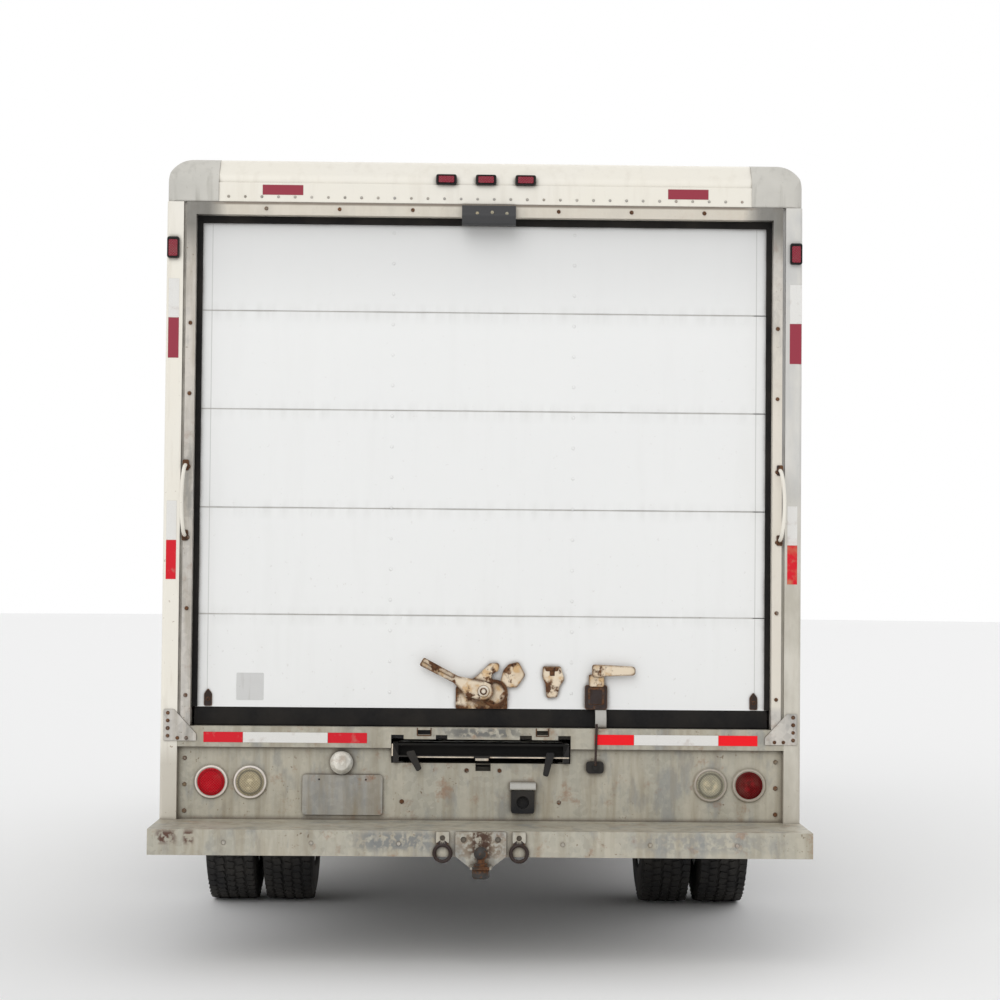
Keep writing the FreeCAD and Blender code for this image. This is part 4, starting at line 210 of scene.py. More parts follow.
boxWhite = dict(roughness=0.38, colour=(0.80, 0.80, 0.77), cloudScale=0.9, cloudAmount=0.5,
                cloudColour=(0.70, 0.70, 0.66), streakScale=4.0, dirtTop=2.9, dirtBottom=0.9,
                dirtAmount=0.32,
                dirtColour=(0.36, 0.33, 0.27), speckAmount=0.5, speckColour=(0.20, 0.13, 0.08),
                rippleScale=2.2, rippleDepth=0.004)
creamPaint = dict(roughness=0.42, colour=(0.86, 0.82, 0.72), cloudScale=1.6, cloudAmount=0.55,
                  cloudColour=(0.82, 0.80, 0.76), streakScale=9.0, dirtTop=3.1, dirtBottom=0.6,
                  dirtAmount=0.5,
                  dirtColour=(0.40, 0.33, 0.24), speckAmount=0.7, speckColour=(0.22, 0.12, 0.06),
                  rippleScale=5.0, rippleDepth=0.002)
capGrey = dict(roughness=0.6, colour=(0.63, 0.61, 0.56), cloudScale=6.0, cloudAmount=0.7,
               cloudColour=(0.50, 0.49, 0.45), streakScale=11.0, dirtTop=3.1, dirtBottom=2.85,
               dirtAmount=0.7,
               dirtColour=(0.27, 0.26, 0.22), speckAmount=0.4, speckColour=(0.15, 0.14, 0.12),
               rippleScale=40.0, rippleDepth=0.0008)
cabPaint = dict(roughness=0.24, colour=(0.80, 0.81, 0.80), cloudScale=1.0, cloudAmount=0.25,
                cloudColour=(0.74, 0.74, 0.72), streakScale=6.0, dirtTop=1.5, dirtBottom=0.5, dirtAmount=0.5,
                dirtColour=(0.33, 0.30, 0.24), speckAmount=0.6, speckColour=(0.16, 0.12, 0.09),
                rippleScale=3.0, rippleDepth=0.0006)
doorLook = dict(boxWhite, colour=(0.87, 0.875, 0.865), cloudColour=(0.83, 0.835, 0.83), cloudAmount=0.6,
                roughness=0.33, dirtAmount=0.10, dirtColour=(0.50, 0.49, 0.45), speckAmount=0.15,
                rippleDepth=0.003)
doorSeams = [2.475, 2.096, 1.718, 1.309]


def doorMarksAndShade(colour, x, z):
    for seam in doorSeams:                                   # grime gathers in each panel joint
        broken = eased(patches(7.0, 0.35, 0.6, 5.0, (1, 1, 4)), 0.3, 0.08)
        colour = layered(colour, (times(between(z, seam - 0.0035, seam + 0.0035, 0.0015), broken),
                                  (0.10, 0.09, 0.08)),
                         (times(between(z, seam - 0.03, seam + 0.02, 0.02), runningDirt(9.0, 0.4, 0.8),
                                0.22),
                          (0.42, 0.41, 0.38)))
    # the top panel stands in the header's shade
    shade = (times(spread(z, 2.40, 2.80), 0.33), (0.42,) * 3)
    edges = [(times(between(maths("MULTIPLY", x, side), 1.0475, 1.0505, 0.001), 0.55), (0.38, 0.38, 0.36))
             for side in (-1, 1)]                            # thin edge strip beside each seal
    return layered(colour, shade, *edges)


def postMarksAndShade(colour, x, z):
    # The right post is greyer than the left, a mottled painted shade, and both feet are darker, the left one
    # more
    right = spread(x, 0.9, 1.0)
    dustAndShade = times(right, eased(patches(12.0, 0.4, 0.62, 7.0, (1, 1, 0.4)), 0.35, 0.55))
    return layered(colour, (dustAndShade, mixed(spread(z, 1.4, 1.9), (0.46, 0.43, 0.36), (0.55, 0.55, 0.54))),
                   (times(spread(z, 0.86, 0.74), eased(right, -0.25, 0.42)), (0.24, 0.20, 0.14)))


def surroundTintAndShade(colour, x, z):
    # Cream on the right, fading out upwards into painted shade; painted shade on the outer part near the top,
    # under the caps, and a painted shadow line under the header
    middle = spread(maths("ABSOLUTE", x), 1.06, 0.99)
    creamRight = times(spread(x, 1.00, 1.05), spread(z, 2.66, 2.05), spread(z, 0.95, 0.975), 0.85)
    return layered(colour, (creamRight, (0.76, 0.71, 0.62)),
                   (times(middle, spread(z, 2.70, 2.75), 0.8), (0.66, 0.61, 0.52)),
                   # painted shade on the outer part under the caps
                   (times(maths("SUBTRACT", 1.0, middle), spread(z, 2.66, 2.80), 0.82), (0.15, 0.145, 0.13)),
                   # painted shadow line under the header
                   (times(middle, between(z, 2.877, 2.890, 0.003), 0.75), (0.11, 0.075, 0.05)))


def markAt(x, z, place, reach):
    # One soft-edged stain on a face that looks backwards
    sides = [spread(maths("ABSOLUTE", maths("SUBTRACT", value, middle)), half * 1.3, half * 0.6)
             for value, middle, half in zip((x, z), place, reach)]
    return times(*sides, patches(48.0, 0.42, 0.54, 6.0))


def galvanised(name, tint=(0.41, 0.39, 0.325), rust=0.5, grime=0.6, roughness=0.5, metallic=0.25, marks=(),
               extra=None):
    openMaterial(name, roughness, metallic)
    x, y, z = axes()
    tone = addNode("ShaderNodeSeparateColor", {0: cells(55.0)["Color"]}).outputs[0]
    stain = times(patches(11.0, 0.58, 0.68, 8.0, rough=0.7), rust)
    specks = times(patches(75.0, 0.66, 0.71, 3.0), patches(4.0, 0.45, 0.6, 3.0), 0.8)
    colour = layered(mixed(spread(tone, 0, 1, 0.15, 0.85), scaled(tint, 0.84), scaled(tint, 1.16)),
                     (times(patches(7.0, 0.42, 0.60, 8.0, (1, 1, 0.25)), 0.5),       # chalky places
                      tuple(c * f for c, f in zip(tint, (1.30, 1.26, 1.22)))),
                     (times(patches(9.0, 0.53, 0.62, 8.0, (1, 1, 0.4), 0.65), 0.55), (0.235, 0.245, 0.245)),
                     (times(runningDirt(8.0, 0.46, 0.72), grime), (0.26, 0.215, 0.145)),
                     (stain, (0.25, 0.10, 0.035)), (specks, (0.13, 0.075, 0.035)),
                     # dark brown in corners and joints, where parts meet: partly grime, partly painted shade
                     (times(hollows(0.022, 0.5, 0.92), 0.8), (0.085, 0.062, 0.042)))
    for place, reach, shade, amount in marks:
        colour = mixed(times(markAt(x, z, place, reach), amount), colour, shade)
    finish(extra(colour, x, z) if extra else colour, (tone, roughness - 0.08, roughness + 0.14),
           (patches(90.0, 0.3, 0.7, 4.0), 0.0005, 0.5))
    feed(active["shader"].inputs["Metallic"], spread(stain, 0, 0.6, metallic, 0.0))


def rustySteel(name, coat=None, cover=0.5, roughness=0.78, reach=0.012, edge=0.006):
    # Rust, and over it a coat of paint that is gone from edges and corners
    openMaterial(name, roughness, gloss=0.25)
    height = scale = patches(38.0, 0.3, 0.7, 8.0, rough=0.7)
    colour = layered(mixed(scale, (0.055, 0.023, 0.011), (0.20, 0.088, 0.036)),
                     (patches(120.0, 0.5, 0.7, 3.0), (0.035, 0.017, 0.011)))
    worn = None
    if coat:
        edges = times(hollows(edge, 0.45, 0.8, True), patches(22.0, 0.36, 0.5, 6.0))
        left = either(patches(16.0, cover - 0.03, cover + 0.03, 7.0, rough=0.65), edges,
                      times(hollows(reach, 0.5, 0.85), 0.9))
        colour = mixed(left, layered(coat, (times(patches(12.0, 0.42, 0.62, 6.0), 0.6),
                                            scaled(coat, 0.62, 0.50, 0.36)),
                                     (times(patches(24.0, 0.50, 0.60, 6.0, rough=0.6), 0.75),
                                      scaled(coat, 0.80, 0.60, 0.36))), colour)
        height = maths("SUBTRACT", 1.0, times(left, eased(scale, -0.5, 1.0)))
        worn = (left, 0.45, roughness)
    finish(colour, worn, (height, 0.0007, 0.8))


def darkPaint(name, colour=(0.030, 0.030, 0.031), roughness=0.48):
    openMaterial(name, roughness, gloss=0.3)
    dust = patches(3.0, 0.42, 0.72, 8.0)
    finish(layered(mixed(patches(7.0, 0.4, 0.7, 6.0), colour, scaled(colour, 1.7)),
                   (times(dust, 0.55), (0.19, 0.165, 0.125)),
                   (times(patches(17.0, 0.60, 0.68, 8.0, rough=0.7), 0.25), (0.22, 0.085, 0.03))),
           (dust, roughness, 0.85), (patches(130.0, 0.3, 0.7, 3.0), 0.0005, 0.5))


def rubber(name, colour, dust, roughness):
    openMaterial(name, roughness, gloss=0.15)
    cloud, fine = patches(6.0, 0.40, 0.75, 8.0), patches(80.0, 0.35, 0.7, 4.0)
    finish(layered(colour, (times(cloud, dust), (0.15, 0.13, 0.105)),
                   (times(fine, 0.25), scaled(colour, 2.2))),
           (cloud, roughness - 0.1, 0.9), (fine, 0.0003, 0.5))


lamps = dict(height=0.671, tail=1.026, reverse=0.878, inner=0.0545, outer=0.0620, proud=0.0112)


def lampLens(name, colour, shadedColour=None, bowl=None, rim=0.35, glint=0.12, gloss=0.25):
    # Moulded lens: a diamond grid of prisms, with the lenses on the right darker, as painted shade, where a
    # second colour is given
    openMaterial(name, 0.16, gloss=gloss, **{"Coat Weight": gloss * 0.5, "Coat Roughness": 0.05})
    x, y, z = axes()
    level, pitch = maths("ADD", x, y), 620.0
    grid = maths("ADD", *[maths("SINE", times(maths(way, level, z), pitch)) for way in ("ADD", "SUBTRACT")])
    shade = mixed(spread(x, -0.05, 0.05), colour, shadedColour or colour)
    shade = layered(mixed(spread(grid, -1.6, 1.6), mixed(0.35, shade, (0, 0, 0)), shade),
                    (times(patches(12.0, 0.5, 0.8, 6.0), 0.3), (0.22, 0.16, 0.12)))
    # the bowl behind a round lens, as a ring of painted shade and a mottled painted highlight in the middle
    if bowl:
        across = maths("SUBTRACT", maths("ABSOLUTE", x), bowl)
        rise = maths("SUBTRACT", z, lamps["height"])
        away = maths("SQRT", maths("ADD", times(across, across), times(rise, rise)))
        shade = layered(shade, (times(between(away, 0.040, 0.048, 0.003), rim), scaled(shadedColour, 0.25)),
                        (times(spread(away, 0.034, 0.020), patches(45.0, 0.48, 0.60, 4.0), glint),
                         scaled(colour, 1.5, lift=0.04)))
    finish(shade, bump=(grid, 0.0006, 0.6))


def wovenCloth(name, colour, thread):
    openMaterial(name, 0.9, **{"Sheen Weight": 0.3})
    weave = cells(420.0, 0.3)["Distance"]
    finish(layered(mixed(spread(weave, 0.1, 0.6), colour, thread),
                   (times(patches(4.0, 0.45, 0.75, 5.0), 0.4), scaled(colour, 1.5, lift=0.02))),
           bump=(weave, 0.0006, 0.8))


def grainPlastic(name, colour, roughness=0.6):
    openMaterial(name, roughness)
    dust = patches(5.0, 0.45, 0.75, 6.0)
    finish(mixed(times(dust, 0.3), colour, scaled(colour, 1.3, lift=0.03)),
           (dust, roughness - 0.08, roughness + 0.15), (cells(700.0)["Distance"], 0.0003, 0.6))


def stripTape(name, colour, wear, darkerHigh=None, brighterRight=None):
    # Marking tape: fine honeycomb under a clear face, with worn and dusty places
    openMaterial(name, 0.32, gloss=0.2)
    honeycomb = cells(340.0, 0.15, feature="DISTANCE_TO_EDGE")["Distance"]
    x, y, z = axes()
    faded = times(spread(x, 1.0, 1.1), spread(z, 1.62, 1.56), spread(z, 1.38, 1.44),
                  patches(18.0, 0.40, 0.56, 5.0), 0.7)
    shade = layered(mixed(spread(honeycomb, 0.02, 0.16), scaled(colour, 0.72), colour),
                    (times(patches(26.0, 0.58, 0.72, 6.0), wear), (0.42, 0.33, 0.27)),
                    (faded, (0.55, 0.22, 0.12)))
    # darker bands up high, brighter ones right of the slot
    if darkerHigh:
        rightOfSlot = times(spread(x, 0.3, 0.4), spread(z, 1.0, 0.9), spread(x, 1.16, 1.12))
        shade = layered(shade, (spread(z, 2.2, 2.28), darkerHigh), (rightOfSlot, brighterRight))
    finish(shade)


def plainFilm(name, roughness, clean, dustAndShade, scale, low, high, detail, amount=None, metallic=0.0, **more):
    # Glass, mirror or a printed face under a thin film of dust
    openMaterial(name, roughness, metallic, **more)
    film = patches(scale, low, high, detail)
    finish(mixed(times(film, amount) if amount else film, clean, dustAndShade),
           (film, roughness, {"window_glass": 0.14, "mirror_glass": 0.2}[name]) if amount else None)


def tyreRubber():
    openMaterial("tyre_rubber", 0.82, gloss=0.2)
    fine = patches(160.0, 0.3, 0.7, 4.0)
    finish(layered((0.020, 0.020, 0.021), (times(patches(5.0, 0.35, 0.75, 8.0), 0.6), (0.105, 0.095, 0.080)),
                   (times(fine, 0.3), (0.055, 0.053, 0.050))), bump=(fine, 0.0006, 0.6))


rustMark = (0.085, 0.030, 0.018)
for name, look, extra in (
        ("box_white_paint", boxWhite, None), ("cream_paint", creamPaint, None),
        ("cap_grey_paint", capGrey, None),
        ("cab_white_paint", cabPaint, None), ("door_paint", doorLook, doorMarksAndShade),
        ("post_paint", creamPaint, postMarksAndShade),
        ("rim_white_paint", dict(cabPaint, dirtTop=1.4, dirtBottom=0.1, dirtAmount=0.9, roughness=0.4,
                                 speckAmount=0.9), None),
        ("flap_grey", dict(capGrey, colour=(0.42, 0.41, 0.38), dirtTop=1.2, dirtBottom=0.5), None),
        ("plate_grey", dict(capGrey, colour=(0.55, 0.55, 0.52), dirtTop=1.2, dirtBottom=0.5), None),
        ("seam_strip", dict(boxWhite, colour=(0.62, 0.60, 0.56), dirtAmount=0.6), None),
        ("blank_label", dict(capGrey, colour=(0.66, 0.66, 0.65), cloudColour=(0.58, 0.58, 0.57),
                             roughness=0.45, dirtTop=1.2, dirtBottom=0.9), None),
        # lamp rings: the right-hand ones darkened as painted shade
        ("lamp_ring", dict(creamPaint, colour=(0.80, 0.71, 0.65), roughness=0.35),
         lambda colour, x, z: mixed(spread(x, -0.1, 0.1, 0.0, 0.75), colour, (0.30, 0.26, 0.20)))):
    paintedPanel(name, look, extra)
for name, *values in (
        ("bumper_steel", (0.34, 0.345, 0.35), 0.45, 0.7, 0.34, 0.6),
        ("ramp_metal", (0.42, 0.42, 0.40), 0.3, 0.8, 0.45, 0.4),
        ("bracket_zinc", (0.33, 0.32, 0.29), 0.8, 0.8), ("rivet_metal", (0.44, 0.42, 0.38), 0.7, 0.8),
        ("dull_chrome", (0.70, 0.68, 0.62), 0.4, 0.5, 0.2), ("ramp_lip", (0.66, 0.58, 0.47), 0.8, 0.5),
        ("lamp_reflector", (0.78, 0.78, 0.76), 0.0, 0.15, 0.14, 0.8)):
    galvanised(name, *values)
galvanised("zinc_plate", marks=[((0.010, 0.866), (0.140, 0.017), (0.10, 0.10, 0.095), 0.8),
                                ((0.010, 0.864), (0.120, 0.015), (0.16, 0.16, 0.15), 0.6)])
galvanised("bumper_zinc", marks=[((-1.150, 0.502), (0.034, 0.024), rustMark, 0.95),
                                 ((-1.068, 0.502), (0.018, 0.024), rustMark, 0.95),
                                 ((-0.310, 0.492), (0.150, 0.034), (0.17, 0.18, 0.185), 0.8),
                                 ((0.80, 0.490), (0.25, 0.034), (0.22, 0.23, 0.23), 0.5)])
galvanised("hitch_zinc", (0.43, 0.41, 0.35), 0.7, 0.8, marks=[
    ((0.0, 0.485), (0.095, 0.055), (0.16, 0.10, 0.055), 0.7),
    ((0.0, 0.480), (0.036, 0.055), (0.070, 0.032, 0.018), 0.9),
    ((0.004, 0.485), (0.030, 0.050), (0.060, 0.027, 0.015), 0.9)])
galvanised("zinc_rail", (0.53, 0.505, 0.465), 0.35, 0.6, extra=surroundTintAndShade)
darkPaint("chassis_black")
for name, *values in (
        ("cast_iron", (0.045, 0.043, 0.042), 0.52), ("rusted_steel",),
        ("latch_pale", (0.82, 0.76, 0.66), 0.60), ("latch_dark", (0.034, 0.023, 0.021), 0.64),
        ("latch_cream", (0.80, 0.68, 0.52), 0.53, 0.78, 0.034, 0.013),
        ("screw_steel", (0.26, 0.24, 0.21), 0.48, 0.6)):
    rustySteel(name, *values)
rubber("seal_rubber", (0.009, 0.0085, 0.0085), 0.16, 0.8)
rubber("socket_black", (0.012, 0.012, 0.013), 0.3, 0.5)
rubber("slot_dark", (0.006, 0.006, 0.006), 0.1, 0.8)
tyreRubber()
lampLens("lens_red", (0.56, 0.006, 0.016), (0.13, 0.0010, 0.0015), lamps["tail"], gloss=0.08)
lampLens("lens_marker_red", (0.30, 0.018, 0.040))
lampLens("lens_reverse", (0.46, 0.39, 0.25), (0.40, 0.37, 0.27), lamps["reverse"], 0.8, 0.6)
lampLens("lens_amber", (0.85, 0.26, 0.02))
lampLens("lens_clear", (0.72, 0.69, 0.60))
plainFilm("window_glass", 0.02, (0.86, 0.90, 0.88), (0.62, 0.60, 0.55), 2.2, 0.45, 0.8, 7.0, 0.35,
          **{"Transmission Weight": 0.92, "IOR": 1.45})
plainFilm("mirror_glass", 0.03, (0.80, 0.82, 0.83), (0.52, 0.50, 0.46), 9.0, 0.5, 0.8, 6.0, 0.4, 1.0)
plainFilm("dial_face", 0.35, (0.012, 0.012, 0.013), (0.030, 0.030, 0.032), 60.0, 0.4, 0.8, 3.0)
wovenCloth("seat_cloth", (0.085, 0.09, 0.10), (0.16, 0.165, 0.175))
wovenCloth("seat_piping", (0.05, 0.05, 0.055), (0.02, 0.02, 0.02))
wovenCloth("belt_webbing", (0.035, 0.035, 0.037), (0.015, 0.015, 0.015))
grainPlastic("trim_grey", (0.20, 0.20, 0.205))
grainPlastic("trim_black", (0.030, 0.030, 0.032))
grainPlastic("floor_mat", (0.050, 0.050, 0.052), 0.85)
stripTape("tape_red", (0.74, 0.014, 0.028), 0.4, (0.32, 0.042, 0.066), (0.93, 0.008, 0.016))
stripTape("tape_white", (0.86, 0.85, 0.82), 0.35)

finishOf = {node: finishName for finishName, names in {
    "chassis_black": "chassis_frame rear_axle front_axle box_floor ramp_tray tie_rod",
    "cast_iron": "engine_block leaf_springs grab_handles steering_knuckle_left steering_knuckle_right",
    "zinc_plate": "fuel_tank rear_sill", "rusted_steel": "exhaust", "bumper_steel": "front_bumper",
    "cab_white_paint": "cab_shell front_fenders hood cab_door_left cab_door_right",
    "seat_cloth": "cab_seats",
    "trim_black": "grille rear_fittings steering_wheel door_mirror_left door_mirror_right",
    "trim_grey": "dashboard",
    "window_glass": "windscreen door_glass_left door_glass_right", "post_paint": "rear_posts",
    "box_white_paint": "box_side_walls box_front_wall box_roof", "zinc_rail": "door_surround",
    "cream_paint": "rear_header", "cap_grey_paint": "header_caps", "door_paint": "door_panels",
    "seal_rubber": "door_seals", "latch_cream": "door_locks", "bumper_zinc": "rear_bumper",
    "hitch_zinc": "hitch",
    "lens_red": "red_lamps", "lens_clear": "clear_lamps", "lens_amber": "amber_lamps",
    "plate_grey": "licence_plate",
    "ramp_metal": "ramp", "tyre_rubber": "front_tyre_left front_tyre_right rear_tyres_left rear_tyres_right",
    "rim_white_paint": "front_rim_left front_rim_right rear_rims_left rear_rims_right",
}.items() for node in names.split()}
for node, finishName in finishOf.items():
    nodes[node].data.materials.clear()
    nodes[node].data.materials.append(paint[finishName])


def dressFaces(node, finishName, inside):
    # A second finish for the faces whose middle passes the test
    mesh = nodes[node].data
    mesh.materials.append(paint[finishName])
    for face in mesh.polygons:
        if inside(face.center):
            face.material_index = len(mesh.materials) - 1


print("finishes assigned")


# Pieces are made in place, in the frame's metres, so that their patterns read real places


def linked(name, data):
    made = bpy.data.objects.new(name, data)
    scene.collection.objects.link(made)
    return made


def ridden(made, body):
    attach(made, body)
    return made


def meshOf(thing):
    graph = bpy.context.evaluated_depsgraph_get()
    return bpy.data.meshes.new_from_object(thing.evaluated_get(graph), depsgraph=graph)


def sidesOf(direction):
    direction = Vector(direction).normalized()
    across = direction.cross(Vector((0, 0, 1)) if abs(direction.z) < 0.9 else Vector((1, 0, 0))).normalized()
    return direction, across, direction.cross(across)


def circlePoints(centre, across, up, radius, steps):
    turns = [2 * math.pi * index / steps for index in range(steps)]
    return [centre + across * math.cos(turn) * radius + up * math.sin(turn) * radius for turn in turns]


def rounded(corners, radius, steps=4):
    # Outline with each corner turned into a short arc
    outline = []
    for index, corner in enumerate(map(Vector, corners)):
        back, ahead = ((Vector(corners[other % len(corners)]) - corner).normalized() * radius
                       for other in (index - 1, index + 1))
        outline += [tuple(corner + back * (1 - share) ** 2 + ahead * share ** 2)
                    for share in (step / steps for step in range(steps + 1))]
    return outline


def framed(left, right, low, high, radius, steps=4):
    left, right = sorted((left, right))
    return rounded([(left, low), (right, low), (right, high), (left, high)], radius, steps)


def stepped(*pairs):
    # Profile of a turned part from (radius, height) pairs written in a row
    return list(zip(pairs[::2], pairs[1::2]))


class Piece:
    # One mesh that grows shape by shape and becomes an object when it is done
    def __init__(self):
        self.build = bmesh.new()

    def rings(self, rings, closed=False, bevel=0.0):
        build = self.build
        made = [[build.verts.new(point) for point in ring] for ring in rings]
        for first, second in list(zip(made, made[1:])) + ([(made[-1], made[0])] if closed else []):
            for index in range(len(first)):
                after = (index + 1) % len(first)
                build.faces.new((first[index], first[after], second[after], second[index]))
        if not closed:
            build.faces.new(made[0])
            build.faces.new(made[-1])
        if bevel:
            bmesh.ops.recalc_face_normals(build, faces=build.faces)
            inside = {vertex for ring in made for vertex in ring}
            sharp = [edge for edge in build.edges if edge.verts[0] in inside and edge.verts[1] in inside
                     and len(edge.link_faces) == 2 and edge.calc_face_angle(0) > 0.5]
            bmesh.ops.bevel(build, geom=sharp, offset=bevel, segments=2, affect="EDGES", clamp_overlap=True)
        return self

    def levels(self, axis, *outlines, closed=True, bevel=0.0):
        # Outlines at their levels along an axis, each as (outline, level)
        order = {"x": lambda a, b, c: (c, a, b), "y": lambda a, b, c: (a, c, b),
                 "z": lambda a, b, c: (a, b, c)}[axis]
        return self.rings([[order(a, b, level) for a, b in outline] for outline, level in outlines], closed,
                          bevel)

    def prism(self, outline, axis, low, high, bevel=0.0):
        low, high = sorted((low, high))
        return self.levels(axis, (outline, low), (outline, high), closed=False, bevel=bevel)

    def slab(self, xs, ys, zs, bevel=0.0):
        (left, right), (low, high) = sorted(xs), zs
        return self.prism([(left, low), (right, low), (right, high), (left, high)], "y", *ys, bevel)

    def turned(self, profile, centre, direction, steps=24, closed=False):
        along, across, up = sidesOf(direction)
        return self.rings([circlePoints(Vector(centre) + along * height, across, up, radius, steps)
                           for radius, height in profile], closed)

    def tube(self, points, radius, sides=8, closed=False):
        points = [Vector(point) for point in points]
        last, across, rings = len(points) - 1, None, []
        for index, point in enumerate(points):
            before = points[index - 1] if index or closed else point
            after = points[(index + 1) % (last + 1)] if index < last or closed else point
            along = (after - before).normalized()
            across = across or sidesOf(along)[1]
            across = (across - along * across.dot(along)).normalized()
            rings.append(circlePoints(point, across, along.cross(across), radius, sides))
        return self.rings(rings, closed)

    def tilted(self, part, place, normal):
        # Another piece, made facing -y about the origin, turned to face a direction and moved into place
        turn = Vector((0, -1, 0)).rotation_difference(Vector(normal))
        part.build.transform(Matrix.Translation(Vector(place)) @ turn.to_matrix().to_4x4())
        mesh = bpy.data.meshes.new("turned_part")
        part.build.to_mesh(mesh)
        self.build.from_mesh(mesh)
        bpy.data.meshes.remove(mesh)
        return self

    def done(self, name, finishName, body="truck", slot=None, sharpAngle=35):
        build = self.build
        bmesh.ops.remove_doubles(build, verts=build.verts, dist=1e-6)
        bmesh.ops.recalc_face_normals(build, faces=build.faces)
        for face in build.faces:
            face.smooth = True
        for edge in build.edges:
            if len(edge.link_faces) == 2 and edge.calc_face_angle(0) > math.radians(sharpAngle):
                edge.smooth = False
        mesh = bpy.data.meshes.new(name)
        build.to_mesh(mesh)
        mesh.materials.append(paint[finishName])
        return ridden(linked(name, mesh), body)


# Repeated heads: one node tree for each shape, with the points and their directions kept on a small mesh

def repeatTree(shape):
    tree = active["tree"] = bpy.data.node_groups.new("repeat_" + shape, "GeometryNodeTree")
    inputs = {}
    for label, kind, value in (("Points", "Geometry", None), ("Radius", "Float", 0.005),
                               ("Height", "Float", 0.003),
                               ("Length", "Float", 0.01), ("Sides", "Int", 10), ("Variation", "Float", 0.06),
                               ("Seed", "Int", 4), ("Material", "Material", None)):
        socket = tree.interface.new_socket(label, in_out="INPUT", socket_type="NodeSocket" + kind)
        if value is not None:
            socket.default_value = value
        inputs[label] = socket.identifier
    tree.interface.new_socket("Heads", in_out="OUTPUT", socket_type="NodeSocketGeometry")
    given = tree.nodes.new("NodeGroupInput").outputs
    radius, height = given["Radius"], given["Height"]
    if shape == "dome":
        ball = addNode("GeometryNodeMeshUVSphere", {"Segments": given["Sides"], "Rings": 5,
                                                    "Radius": radius})
        size = addNode("ShaderNodeCombineXYZ", {0: 1.0, 1: 1.0, 2: maths("DIVIDE", height, radius)})
        head = addNode("GeometryNodeTransform", {"Geometry": ball.outputs["Mesh"], "Scale": size.outputs[0]})
    elif shape == "pan":
        head = addNode("GeometryNodeMeshCone", {"Vertices": given["Sides"], "Depth": height,
                                                "Radius Bottom": radius,
                                                "Radius Top": maths("MULTIPLY", radius, 0.72)},
                       fill_type="NGON")
    else:
        size = addNode("ShaderNodeCombineXYZ", {0: given["Length"], 1: radius, 2: height})
        head = addNode("GeometryNodeMeshCube", {"Size": size.outputs[0]})
    facing, along = (addNode("GeometryNodeInputNamedAttribute", {"Name": label},
                             data_type="FLOAT_VECTOR").outputs[0]
                     for label in ("facing", "along"))
    upright = addNode("FunctionNodeAlignRotationToVector", {"Vector": facing}, axis="Z")
    turned = addNode("FunctionNodeAlignRotationToVector", {"Rotation": upright.outputs[0], "Vector": along},
                     axis="X", pivot_axis="Z")
    low, high = (maths(way, 1.0, given["Variation"]) for way in ("SUBTRACT", "ADD"))
    grown = addNode("FunctionNodeRandomValue", {2: low, 3: high, "Seed": given["Seed"]}, data_type="FLOAT")
    placed = addNode("GeometryNodeInstanceOnPoints", {"Points": given["Points"], "Instance": head.outputs[0],
                                                      "Rotation": turned.outputs[0],
                                                      "Scale": grown.outputs[1]})
    real = addNode("GeometryNodeRealizeInstances", {0: placed.outputs[0]})
    dressed = addNode("GeometryNodeSetMaterial", {"Geometry": real.outputs[0],
                                                  "Material": given["Material"]})
    feed(tree.nodes.new("NodeGroupOutput").inputs[0], dressed.outputs[0])
    return tree, inputs


repeats = {shape: repeatTree(shape) for shape in ("dome", "pan", "block")}


def scatter(name, spots, shape, finishName, body="truck", slot=None, **values):
    # spots holds (place, facing) or (place, facing, along)
    tree, inputs = repeats[shape]
    mesh = bpy.data.meshes.new(name + "_points")
    mesh.from_pydata([tuple(spot[0]) for spot in spots], [], [])
    for index, label in ((1, "facing"), (2, "along")):
        stored = mesh.attributes.new(label, "FLOAT_VECTOR", "POINT")
        for item, spot in zip(stored.data, spots):
            item.vector = tuple(spot[index]) if len(spot) > index else up
    points = linked(name + "_points", mesh)
    modifier = points.modifiers.new("heads", "NODES")
    modifier.node_group = tree
    for label, value in {**values, "material": paint[finishName]}.items():
        modifier[inputs[label.capitalize()]] = value
    baked = meshOf(points)
    bpy.data.objects.remove(points)
    return ridden(linked(name, baked), body)


def mirrored(spots):
    # Each spot and its twin on the other side of the truck
    return list(spots) + [tuple((-vector[0], vector[1], vector[2]) for vector in spot) for spot in spots]


def row(start, end, pitch):
    start, end = Vector(start), Vector(end)
    count = max(1, round((end - start).length / pitch))
    return [start.lerp(end, index / count) for index in range(count + 1)]


def filledIn(path, step):
    # More points along a closed path
    found = []
    for index, place in enumerate(path):
        here, after = Vector(place), Vector(path[(index + 1) % len(path)])
        count = max(1, int((after - here).length / step))
        found += [here.lerp(after, share / count) for share in range(count)]
    return found


def about(middle, half):
    return middle - half, middle + half


back, ahead, out, up = (0, -1, 0), (0, 1, 0), (1, 0, 0), (0, 0, 1)
sides = (("left", -1), ("right", 1))


# Rear of the box

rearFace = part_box("rear_posts")[0][1]
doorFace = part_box("door_panels")[0][1]
apronFace = rearFace + 0.030
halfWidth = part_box("rear_posts")[1][0]
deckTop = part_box("box_floor")[1][2]
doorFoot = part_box("door_panels")[0][2]
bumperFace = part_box("rear_bumper")[0][1]

